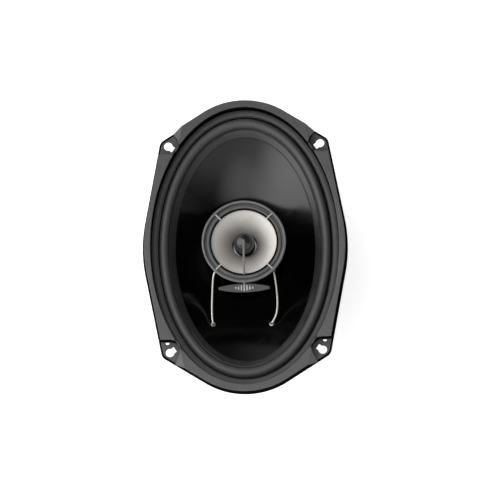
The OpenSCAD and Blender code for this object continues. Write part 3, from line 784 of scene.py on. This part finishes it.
def make_basket_wall():
    """Pressed wall with four windows, an embossed rib down each leg and a gap behind the terminals."""
    gap_share, n_window = GAP_HALF / LEG, 26
    across = sorted([k / 14 for k in range(15) if abs(k / 14 - gap_share) > 0.03] + [gap_share])
    heights = wall_heights()
    points = [wall_point(z, angle) for z in heights for angle in wall_angles(z, across, n_window)]
    columns = len(points) // len(heights)
    quarter = columns // 4
    faces = []
    for face in grid_faces(len(heights), columns):
        i, j = divmod(face[0], columns)
        z = (heights[i] + heights[i + 1]) / 2
        side, k = divmod(j, quarter)
        in_window = len(across) - 1 <= k < quarter - len(across) + 1 and WINDOW_BOTTOM < z < WINDOW_TOP
        share = k if side == 2 else quarter - 1 - k
        behind = side in (1, 2) and share < across.index(gap_share) and GAP_BOTTOM < z < GAP_TOP
        if not (in_window or behind):
            faces.append(face)
    return solidify(make_mesh("basket_wall", points, faces), SHEET)


def make_cup():
    """Spider ledge, cup wall and motor seat, pressed from one sheet."""
    cup_r, hole_r, rim_r, rim_z, low = 46.2, 17.8, 54.2, -44.4, LEDGE_Z - SHEET
    profile = [(hole_r, SEAT_Z, 0.2), (cup_r, SEAT_Z, 1.8), (cup_r, low, 1.2), (rim_r, low, 1.6),
               (rim_r, rim_z, 0.3), (rim_r - 1.3, rim_z, 0.3), (rim_r - 1.3, LEDGE_Z, 0.8),
               (cup_r - SHEET, LEDGE_Z, 1.4), (cup_r - SHEET, SEAT_Z + SHEET, 1.2),
               (hole_r, SEAT_Z + SHEET, 0.2)]
    return lathe("basket_cup", rounded(profile, steps=5))


def board_holes(pole_r):
    """Holes for the terminals' rivets, of a given radius, and for the board's own rivets."""
    return ([circle(y, POLES_Z, pole_r) for y in sorted(POLES_Y)]
            + [circle(y, FIXINGS_Z, 1.5) for y in FIXINGS_Y])


def make_tab():
    """Terminal tab, hanging from the wall with its two rivet holes and two larger clearance holes."""
    outline = rounded([(-15, -36, 3), (15, -36, 3), (15, -14, 0.3), (-15, -14, 0.3)], steps=6)
    return plate("basket_tab", outline, board_holes(2.6), TAB_X, TAB_X + SHEET, 0.25, turn=STAND_X)


def slope_band_ends(band):
    """Planes the band's ends down beside the ears."""
    foot, heading, steepness = (55.6, 93.2, 2.1), radians(12.7), radians(55)
    tilt = (Matrix.Translation(foot) @ Matrix.Rotation(heading, 4, "Z")
            @ Matrix.Rotation(steepness, 4, "Y"))
    box = [tilt @ Vector((x, y, z)) for x in (-12, 18) for y in (-12, 12) for z in (0, 20)]
    sides = [(0, 1, 3, 2), (4, 6, 7, 5), (0, 4, 5, 1), (2, 3, 7, 6), (0, 2, 6, 4), (1, 5, 7, 3)]
    points, faces = [], []
    for sx, sy in CORNERS:
        faces += [tuple(len(points) + i for i in side) for side in sides]
        points += [(sx * x, sy * y, z) for x, y, z in box]
    wedge = make_mesh("slope_cutter", points, faces)
    cut = band.modifiers.new("slope", "BOOLEAN")
    cut.operation, cut.object, cut.solver = "DIFFERENCE", wedge, "MANIFOLD"
    applied(band)
    bpy.data.objects.remove(wedge)


def make_trim():
    """Raised band whose walls are coloured near black as painted shade, and the thin ear pads under the bolt
    heads.
    """
    side_in, band_cut, pad_cut, pad_top, steep = 1.6, 8.5, 8.8, 2.0, 0.4
    band_quarter = split_at_ear(outline_quarter(side_in, 0.3), band_cut)[0]
    pad = split_at_ear(outline_quarter(side_in, 1.8), pad_cut)[1]
    band = plate("trim_band", four_quarters(band_quarter), [oval(*TRIM_OPENING)], SHEET, TRIM_TOP,
                 0.6, 0.1)
    slope_band_ends(band)
    paint(band, "trim", "trim_wall_painted_shade")
    # Painted shade: faces steeper than the limit take the near-black wall look.
    for face in band.data.polygons:
        face.material_index = int(abs(face.normal[2]) < steep)
    finish_piece(band, None, "trim_plastic", "trim_ring")
    for letter, (sx, sy) in zip("abcd", CORNERS):
        loop = [(sx * x, sy * y) for x, y in pad]
        holes = [bolt_hole(sx, sy)]
        if sy < 0:
            holes.append(circle(sx * PIN_X, PIN_Y, 1.5))
        ear = plate(f"ear_pad_{letter}", loop, holes, SHEET, pad_top, 0.25, 0.02)
        finish_piece(ear, "trim", "trim_plastic")


# ---------- Woofer ----------

def cone_fall(t):
    return CONE_DEPTH * ((1 + CONE_DISH - CONE_FLARE) * t - CONE_DISH * t * t + CONE_FLARE * t ** 8)


def cone_half(t):
    return tuple(edge + (CONE_NECK - edge) * t for edge in CONE_EDGE)


def cone_z(x, y):
    """Height of the cone's front over a point of the plan."""
    low, high = 0.0, 1.0
    for _ in range(26):
        t = (low + high) / 2
        half_w, half_l = cone_half(t)
        if (x / half_w) ** 2 + (y / half_l) ** 2 > 1:
            high = t
        else:
            low = t
    return -cone_fall(t)


def make_cone():
    front = [k / 40 for k in range(41)]
    rows = [(*cone_half(t), -cone_fall(t)) for t in front]
    rows += [(*cone_half(t), -cone_fall(t) - CONE_WALL) for t in reversed(front)]
    return oval_loft("woofer_cone_skin", rows)


SURROUND_ROLL = ((67.3, 104.4), (60.4, 96.5))
ROLL_Z, ROLL_H = 0.8, 3.9


def half_roll(outer, inner, z, height, steps=26):
    """Ovals over a half roll from its outer to its inner edge."""
    rows = []
    for k in range(steps + 1):
        a = pi * k / steps
        t = (1 - cos(a)) / 2
        rows.append((between(outer[0], inner[0], t), between(outer[1], inner[1], t), z + height * sin(a)))
    return rows


def surround_rows():
    """Ovals over the surround's front from the land to the lip's inner edge, then back underneath."""
    def on_cone(rows):
        return [(w, l, lambda x, y, lift=lift: cone_z(x, y) + lift) for w, l, lift in rows]

    (out_w, out_l), (in_w, in_l) = SURROUND_ROLL
    wall = 0.4
    front = [(73.6, 111.2, 1.25), (73.6, 111.2, 1.65), (73.3, 110.9, 1.85), (70.2, 107.2, 1.85),
             (69.75, 106.75, 1.75), (69.45, 106.45, 1.3), (69.0, 106.0, -0.4), (68.7, 105.7, -0.75),
             (68.0, 105.1, -0.75), (67.6, 104.7, -0.4)]
    front += half_roll(*SURROUND_ROLL, ROLL_Z, ROLL_H) + [(60.25, 96.3, -0.2), (60.0, 96.0, -0.75)]
    front += on_cone([(59.7, 95.6, 0.35), (59.4, 95.2, 0.62), (58.2, 93.8, 0.62), (56.6, 91.9, 0.62),
                      (55.3, 90.4, 0.6), (54.9, 90.0, 0.4), (54.8, 89.9, 0.05)])
    back = on_cone([(55.2, 90.3, 0.03), (60.0, 96.1, 0.03)]) + [(60.9, 97.0, 0.7)]
    back += half_roll((out_w - wall, out_l - wall), (in_w + wall, in_l + wall), ROLL_Z, ROLL_H - 0.6)[::-1]
    return front + back + [(67.2, 104.3, -1.0), (68.4, 105.5, -1.3), (69.0, 106.1, 1.22)]


def make_surround():
    """The whole surround as one rubber ring."""
    ring = oval_loft("surround_skin", surround_rows())
    paint(ring, "rubber", "lip", "groove")
    # Painted shade: the creases outside and inside the roll take the near-black groove look (index 2).
    for face in ring.data.polygons:
        x, y, z = (c / MM for c in face.center)
        outside, inside = hypot(x / 67.5, y / 104.6) > 1, hypot(x / 60.4, y / 96.5) < 1
        if hypot(x / 59.9, y / 95.8) < 1:
            face.material_index = 1
        elif z < 0.9 and (outside or inside):
            face.material_index = 2
    return ring


def flex_piece(piece, look, node, weight):
    """Gives a piece its look, hides the CAD node it stands for, bakes its place into its mesh and works out a
    weight from 0 to 1 at each point, which is not kept.
    """
    if look is not None:
        paint(piece, look)
    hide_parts(node)
    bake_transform(piece)
    points = np.empty(len(piece.data.vertices) * 3)
    piece.data.vertices.foreach_get("co", points)
    points = points.reshape(-1, 3) / MM
    weights = np.array([weight(*p) for p in points], np.float32)


def surround_weight(x, y, z):
    """0 on the land, 1 on the cone, and a smooth turn over the roll."""
    outer, inner = (hypot(x / half_w, y / half_l) - 1 for half_w, half_l in SURROUND_ROLL)
    if inner <= 0:
        return 1.0
    if outer >= 0:
        return 0.0
    return smooth_step(-outer / (inner - outer))


def make_spider():
    """Corrugated cloth disc between the former and the basket's ledge."""
    inner_r, first, last, outer_r, cloth = 16.17, 20.0, 44.0, 50.0, 0.5
    steps, waves, height = 96, 4, 1.1
    mid = [(inner_r, 0.0), (17.6, 0.0), (first - 0.8, 0.1)]
    mid += [(between(first, last, k / steps),
             0.2 + height * sin(2 * pi * waves * k / steps) * sin(pi * k / steps)) for k in range(steps + 1)]
    mid += [(last + 0.8, 0.1), (outer_r - 0.4, 0.0), (outer_r, 0.0)]
    top = [(r, LEDGE_Z + cloth + dz) for r, dz in mid]
    under = [(r, LEDGE_Z + dz) for r, dz in reversed(mid)]
    return lathe("spider_cloth_disc", under + top)


def spider_weight(x, y, z):
    held, free = 46.5, 17.5
    return 1 - smooth_step((hypot(x, y) - free) / (held - free))


def make_eyelet(name, where):
    """Rolled eyelet set square to the cone."""
    x, y = where
    d = 0.5
    slope = (cone_z(x - d, y) - cone_z(x + d, y), cone_z(x, y - d) - cone_z(x, y + d), 2 * d)
    normal = Vector(slope).normalized()
    turn = Vector((0, 0, 1)).rotation_difference(normal).to_matrix().to_4x4()
    turn.translation = Vector((x, y, cone_z(x, y)))
    ring = rounded([(0.55, -2.4, 0.05), (1.25, -2.4, 0.15), (1.25, 0.1, 0.05), (2.1, 0.1, 0.15),
                    (2.1, 0.55, 0.3), (0.9, 0.95, 0.3), (0.55, 0.6, 0.1)], steps=4)
    return lathe(name, ring, steps=48, place=turn)


# ---------- Motor ----------

def make_magnet_parts():
    top = rounded(box_corners(17.3, GAP_Z, 42.5, SEAT_Z, 0.3, 0.5), steps=4)
    finish_piece(lathe("motor_top_plate", top), "yoke", "plated_steel", "top_plate")
    magnet = rounded(box_corners(24, MAGNET_Z, 45, GAP_Z, 0.5, 1.4), steps=5)
    finish_piece(lathe("motor_magnet", magnet), "ferrite", "ferrite", "ring_magnet")
    bore, recess, pole, edge = 2.2, 8, 15.4, 42.5
    yoke = rounded([(bore, BACK_Z + 4.5, 0.1), (recess, BACK_Z + 4.5, 0.4), (recess, BACK_Z, 0.6),
                    (edge - 1, BACK_Z, 1.0), (edge, BACK_Z + 1, 0.6), (edge, MAGNET_Z, 0.2),
                    (pole, MAGNET_Z, 1.5), (pole, POLE_TOP - 0.5, 0.3), (pole - 0.5, POLE_TOP, 0.2),
                    (bore, POLE_TOP, 0.1)], steps=4)
    finish_piece(lathe("motor_yoke", yoke), "yoke", "plated_steel", "pole_yoke")


def make_seat_rivets():
    foot, under, head, ring_r = -60.9, SEAT_Z + SHEET, SEAT_Z + 2.7, 37
    shank = rounded([(1.95, foot, 0.2), (1.95, under, 0.1), (3.6, under, 0.2), (3.4, head - 0.6, 0.7),
                     (2.2, head, 0.6)], steps=5)
    rivets = []
    for k in range(4):
        a = radians(45 + 90 * k)
        place = Matrix.Translation((ring_r * cos(a), ring_r * sin(a), 0))
        rivets.append(lathe(f"rivet_{k}", [(0, foot)] + shank + [(0, head)], False, 40, place))
    finish_piece(joined("seat_rivets", rivets), "zinc", "zinc_fasteners", "frame_rivets")


def make_motor():
    make_magnet_parts()
    make_seat_rivets()
    post = [(0, POLE_TOP), (5, POLE_TOP), (5, -20.4), (4.6, -20), (0, -20)]
    finish_piece(lathe("centre_post", post, False, 64), "post", "post_steel", "tweeter_post")
    former = rounded(box_corners(15.8, -66, 16.15, -42.5, 0.1, 0.1))
    finish_piece(lathe("former_tube", former), "film", "former_film", "coil_former", body="woofer_moving")
    coil = rounded(box_corners(16.15, -64.5, 16.75, -56.5, 0.1, 0.2))
    finish_piece(lathe("coil_winding", coil), "copper", "coil_copper", "voice_coil", body="woofer_moving")


# ---------- Tweeter ----------

LAND_Z = 19.2


def make_housing():
    """Flared cup, open in front, closed behind by a flat bottom."""
    shell = rounded([(16, -20, 2.5), (24, -12, 3), (24, 0, 3), (26, 6, 6), (31.2, 17, 3), (32, 20.3, 0.3),
                     (30.8, 20.3, 0.3), (30.8, LAND_Z, 0.1), (29.2, LAND_Z, 0.3), (29.2, 17, 1),
                     (24.6, 7, 4), (22.6, 0.4, 1), (22.6, -11.4, 1), (15.4, -18.6, 1)], steps=6)
    profile = [(0, -20), shell[-1]] + shell[:-1] + [(0, -18.6)]
    finish_piece(lathe("housing_shell", profile, False), "housing", "housing_plastic", "tweeter_housing")


def make_silver_cone():
    edge_r, neck_r, neck_z, wall, steps = 25.4, 9.8, 9.0, 0.4, 24
    flare = [(between(edge_r, neck_r, t), between(LAND_Z, neck_z, 0.7 * t + 0.3 * t * t))
             for t in (k / steps for k in range(steps + 1))]
    front = [(26.2, LAND_Z - wall), (26.2, LAND_Z)] + flare
    back = [(r, z - wall) for r, z in reversed(flare)]
    finish_piece(lathe("silver_cone", front + back), "silver", "silver_film", "tweeter_cone",
                 body="tweeter_moving")


def make_small_roll():
    """The tweeter's own half roll, from the silver cone to the housing's land."""
    wall, mid_r, r, steps = 0.35, 28.1, 1.5, 16

    def bow(radius, z):
        return [(mid_r - radius * cos(pi * k / steps), z + radius * sin(pi * k / steps))
                for k in range(steps + 1)]

    ring = [(25.7, LAND_Z + 0.05), (25.7, LAND_Z + wall + 0.05)] + bow(r, LAND_Z + wall)
    ring += [(30.7, LAND_Z + wall), (30.7, LAND_Z)] + bow(r - wall, LAND_Z)[::-1]
    flex_piece(lathe("small_roll", ring), "roll", "tweeter_surround",
               lambda x, y, z: 1 - smooth_step((hypot(x, y) - 26.6) / 3.0))


def make_plug():
    base_z, shoulder_z, tip_z, plug_r, steps = 2.4, 17.6, 25.8, 8.2, 20
    nose = [(plug_r * cos(a), between(shoulder_z, tip_z, sin(a)))
            for a in (pi / 2 * k / steps for k in range(steps))]
    nose = [(0, base_z), (plug_r, base_z), (plug_r, base_z + 0.3)] + nose + [(0.8, tip_z), (0, tip_z)]
    finish_piece(lathe("plug_bullet", nose, False, 128), "plug", "plug_plastic", "phase_plug")


def tube_faces(rings, sides):
    """Faces of a tube with both ends closed."""
    ends = [tuple(range(sides)), tuple((rings - 1) * sides + k for k in reversed(range(sides)))]
    return grid_faces(rings, sides) + ends


def heading_at(path, i):
    return Vector(path[min(i + 1, len(path) - 1)] - path[max(i - 1, 0)]).normalized()


def swept_bar(name, path, half_w, half_t, sides=12):
    """Rounded bar along a path, its cross-section between an ellipse and a rectangle."""
    p = np.array(path, float)
    points = []
    for i, q in enumerate(p):
        along = heading_at(p, i)
        side = along.cross(Vector((0, 0, 1))).normalized()
        normal = side.cross(along).normalized()
        for a in around(sides):
            fill = (cos(a) ** 4 + sin(a) ** 4) ** 0.25
            across, proud = cos(a) / fill * half_w, sin(a) / fill * half_t
            points.append(tuple(Vector(q) + side * across + normal * proud))
    return make_mesh(name, points, tube_faces(len(p), sides))


def make_guard_rings():
    inner_r, mid_r, mid_z = 31, 32, 22
    ring = [(inner_r, 20.4), (32.6, 20.4), (32.9, 20.9)]
    ring += [(mid_r + cos(radians(a)), mid_z + sin(radians(a))) for a in range(0, 181, 15)]
    ring += [(inner_r, 21.4)]
    finish_piece(lathe("guard_ring", ring), "guard", "guard_plastic", "tweeter_guard")
    inner = rounded([(25.6, 20.9, 0.3), (26.8, 20.9, 0.3), (26.8, mid_z, 0.5), (25.6, mid_z, 0.5)], steps=4)
    # The inner ring takes the near-black look, painted shade.
    finish_piece(lathe("guard_inner_ring", inner), "guard_painted_shade", "guard_plastic")


def make_guard_ribs():
    start_r, end_r, top_z, bow = 25.4, 31.4, 22.0, 0.25
    ribs = []
    for k in range(4):
        a = radians(45 + 90 * k)
        path = [(r * cos(a), r * sin(a), top_z + bow * sin(pi * (r - start_r) / (end_r - start_r)))
                for r in np.linspace(start_r, end_r, 13)]
        ribs.append(swept_bar(f"rib_{k}", path, 0.55, 0.5))
    # The ribs take the lighter rib look, a painted highlight.
    finish_piece(joined("guard_ribs", ribs), "rib", "guard_plastic")


def make_guard_bars():
    """The bar that arches over to the plug's tip, and the badge's arm."""
    ring_r, ring_z, tip_z = 26.3, 21.95, 26.3
    arch = [(0, -ring_r * t, between(ring_z, tip_z, cos(pi / 2 * t))) for t in np.linspace(-0.02, 1, 40)]
    finish_piece(swept_bar("guard_bar", arch, 0.85, 0.5), "guard", "guard_plastic")
    arm = [(0, -31.4, 22.7), (0, -32.4, 23.0), (0, -33.6, 22.9), (0, -34.0, 22.6)]
    finish_piece(swept_bar("badge_arm", arm, 0.8, 0.45), "guard", "guard_plastic")


def make_badge():
    """Lens-shaped plate with rounded edges and a plain row of level bars."""
    half_l, half_h, lens_l, badge_y, top_z = 20.0, 3.5, 24.0, -37.4, 22.8
    lens_r = (lens_l ** 2 + half_h ** 2) / (2 * half_h)
    reach = degrees(asin(half_l / lens_r))
    lens = (arc(0, lens_r - half_h, lens_r, 270 - reach, 270 + reach, 40)
            + arc(0, half_h - lens_r, lens_r, 90 - reach, 90 + reach, 40))
    lens = rounded([(x, y, 0.5 if abs(x) > half_l - 0.1 else 0) for x, y in lens], steps=4)
    loop = [(x, y + badge_y) for x, y in lens]
    finish_piece(plate("badge_plate", loop, [], 21.6, top_z, 0.45), "badge", "badge_plastic", "badge")
    bars = []
    for k, half in enumerate((0.9, 1.5, 2.1, 2.6, 2.1, 1.5, 0.9)):
        x = (k - 3) * 2.2
        bar = box_corners(x - 0.5, badge_y - half, x + 0.5, badge_y + half, 0.35, 0.35)
        bars.append(plate(f"bar_{k}", rounded(bar, steps=4), [], top_z - 0.1, top_z + 0.3, 0.15, 0.02))
    finish_piece(joined("badge_bars", bars), "badge_mark", "badge_plastic")


# ---------- Terminals ----------

def stand_on_x(x, y, z):
    """Turns a lathe's Z axis to point along +X from a place."""
    return Matrix.Translation((x, y, z)) @ Matrix.Rotation(pi / 2, 4, "Y")


def make_terminal(name, y, width, look, slot):
    """Push-on blade with its hollow rivet through the board."""
    half, tip, bevel, foot, blade_t = width / 2, -45, 1.2, -22.5, 0.8
    shape = [(half - bevel, tip, 0.4), (half, tip + 1.4, 0.4), (half, foot, 1.2)]
    loop = rounded([(y - w, z, r) for w, z, r in shape[1::-1]] + [(y + w, z, r) for w, z, r in shape]
                   + [(y - half, foot, 1.2)], steps=4)
    blade = plate(name + "_blade", loop, [circle(y, tip + 4, 0.8)], BOARD_X - blade_t, BOARD_X, 0.2,
                  turn=STAND_X)
    outward = stand_on_x(BOARD_X - blade_t, y, POLES_Z)
    head = rounded([(2.2, -0.1, 0.1), (2.2, 0.3, 0.5), (1.3, 0.9, 0.5)], steps=5)
    rivet = lathe(name + "_head", [(0, -0.1)] + head + [(0, 0.9)], False, 40,
                  outward @ Matrix.Rotation(pi, 4, "X"))
    shank = rounded([(1.28, 0, 0.05), (1.28, 4.45, 0.3)], steps=3)
    pin = lathe(name + "_shank", [(0, 0)] + shank + [(0, 4.45)], False, 32, outward)
    finish_piece(joined(name + "_part", [blade, rivet, pin]), look, slot, name)


def make_terminals():
    board = rounded([(-14, -35, 1.5), (14, -35, 1.5), (14, -17, 1.5), (-14, -17, 1.5)], steps=5)
    finish_piece(plate("board_plate", board, board_holes(1.3), BOARD_X, TAB_X, 0.2, turn=STAND_X), "board",
                 "board_fibre", "terminal_board")
    make_terminal("terminal_positive", POLES_Y[0], 6.3, "brass", "terminal_brass")
    make_terminal("terminal_negative", POLES_Y[1], 4.8, "tin", "lug_tin")
    body = rounded([(2.4, -0.8, 0.4), (2.4, 0, 0.1), (1.48, 0, 0.05), (1.48, 2.8, 0.05), (2.2, 2.8, 0.1),
                    (2.2, 3.6, 0.4)], steps=4)
    fixings = [lathe(f"fixing_{k}", [(0, -0.8)] + body + [(0, 3.6)], False, 40,
                     stand_on_x(BOARD_X, y, FIXINGS_Z)) for k, y in enumerate(FIXINGS_Y)]
    finish_piece(joined("board_fixings", fixings), "zinc", "zinc_fasteners", "terminal_rivets")


# ---------- Leads ----------

def even_path(route, step):
    """A smooth route in equal steps: (places, distances along it)."""
    fine = smooth_route(route)
    lengths = np.concatenate([[0], np.cumsum(np.linalg.norm(np.diff(fine, axis=0), axis=1))])
    at = np.linspace(0, lengths[-1], int(lengths[-1] / step))
    return np.stack([np.interp(at, lengths, fine[:, k]) for k in range(3)], 1), at


def make_lead(name, look):
    """Braided lead: a tube whose surface is two crossing sets of raised strands."""
    path, at = even_path(ROUTES[name], 0.16)
    sides, strands, pitch, relief = 24, 4, 5.2, 0.14
    side = Vector((1, 0.3, 0.2))
    points = []
    for i, q in enumerate(path):
        along = heading_at(path, i)
        side = (side - along * side.dot(along)).normalized()
        other = along.cross(side)
        turn = 2 * pi * at[i] / pitch
        for a in around(sides):
            ridge = max(abs(sin((a + turn) * strands / 2)), abs(sin((a - turn) * strands / 2)))
            r = LEAD_D / 2 * (1 - relief + relief * ridge)
            points.append(tuple(Vector(q) + (side * cos(a) + other * sin(a)) * r))
    lead = make_mesh(name + "_braid", points, tube_faces(len(path), sides), radians(80))
    start, span = Vector(path[0]), Vector(path[-1] - path[0])
    flex_piece(lead, look, name,
               lambda x, y, z: smooth_step((Vector((x, y, z)) - start).dot(span) / span.length_squared))


for lead_name in ("tweeter_lead_left", "tweeter_lead_right"):
    make_lead(lead_name, "tinsel")
for lead_name in ("woofer_lead_positive", "woofer_lead_negative"):
    make_lead(lead_name, "copper_braid")


# ---------- Build ----------

def make_woofer():
    finish_piece(make_cone(), "cone", "cone_film", "woofer_cone", body="woofer_moving")
    flex_piece(make_surround(), None, "surround", surround_weight)
    flex_piece(make_spider(), "cloth", "spider", spider_weight)
    eyelets = [make_eyelet(f"eyelet_{side}", where) for side, where in EYELETS.items()]
    finish_piece(joined("rolled_eyelets", eyelets), "eyelet", "eyelet_metal", "cone_eyelets",
                 body="woofer_moving")


# The flange takes the darker steel look, painted shade on its edges.
finish_piece(make_flange(), "rim", "basket_steel", "basket")
for pressing in (make_basket_wall(), make_cup(), make_tab()):
    finish_piece(pressing, "steel", "basket_steel")
make_trim()
make_woofer()
make_motor()
make_housing()
make_silver_cone()
make_small_roll()
make_plug()
make_guard_rings()
make_guard_ribs()
make_guard_bars()
make_badge()
make_terminals()

# The tweeter's former takes the near-black post look, painted shade in the gap round the plug's foot.
for look_name, node_names in (("zinc", ("post_bolt", "post_washer")),
                              ("yoke", ("tweeter_yoke", "tweeter_top_plate")),
                              ("ferrite", ("tweeter_magnet",)), ("post", ("tweeter_former",)),
                              ("copper", ("tweeter_coil",)), ("tin", ("tweeter_lugs", "capacitor_wires")),
                              ("sleeve", ("capacitor",))):
    for node_name in node_names:
        dress_node(node_name, look_name)


# ---------- Studio ----------

def make_floor():
    half, z = 6000, BACK_Z - 0.05
    floor = make_mesh("studio_floor", [(sx * half, sy * half, z) for sx, sy in CORNERS], [(0, 1, 2, 3)])
    floor.data.materials.append(floor_finish())


def direction(azimuth, elevation):
    a, e = radians(azimuth), radians(elevation)
    return (cos(a) * cos(e), sin(a) * cos(e), sin(e))


def make_world():
    """A soft studio with no lamps: pale panels, a low glow all round, and a little light from everywhere."""
    # Each panel: azimuth, elevation, half angles where it is full and where it has gone, strength
    panels = [(15, 5, 20, 70, 0.25), (165, 20, 20, 90, 0.5), (170, 45, 15, 45, 2.2), (-95, 5, 65, 85, 0.8),
              (0, 90, 5, 25, 1.1)]
    ambient, horizon, full_below, gone_above = 0.034, 0.85, 3, 9
    world = bpy.data.worlds.new("studio")
    world.use_nodes = True
    SCENE.world = world
    sky = Nodes(world.node_tree)
    look = sky.node("ShaderNodeTexCoord").outputs["Generated"]
    total = ambient
    for azimuth, elevation, full, gone, strength in panels:
        facing = sky.vector_math("DOT_PRODUCT", look, direction(azimuth, elevation))["Value"]
        glow = sky.ramp(facing, 0, strength, cos(radians(gone)), cos(radians(full)), "SMOOTHSTEP")
        total = sky.math("ADD", glow, total)
    rim = sky.ramp(sky.part_of(look, "Z"), 0, horizon, sin(radians(gone_above)), sin(radians(full_below)),
                   "SMOOTHSTEP")
    background = sky.tree.nodes["Background"].inputs
    background["Color"].default_value = (1, 1, 1, 1)
    sky.feed(background["Strength"], sky.math("ADD", rim, total))


make_floor()
make_world()
SCENE.view_settings.view_transform = "Standard"
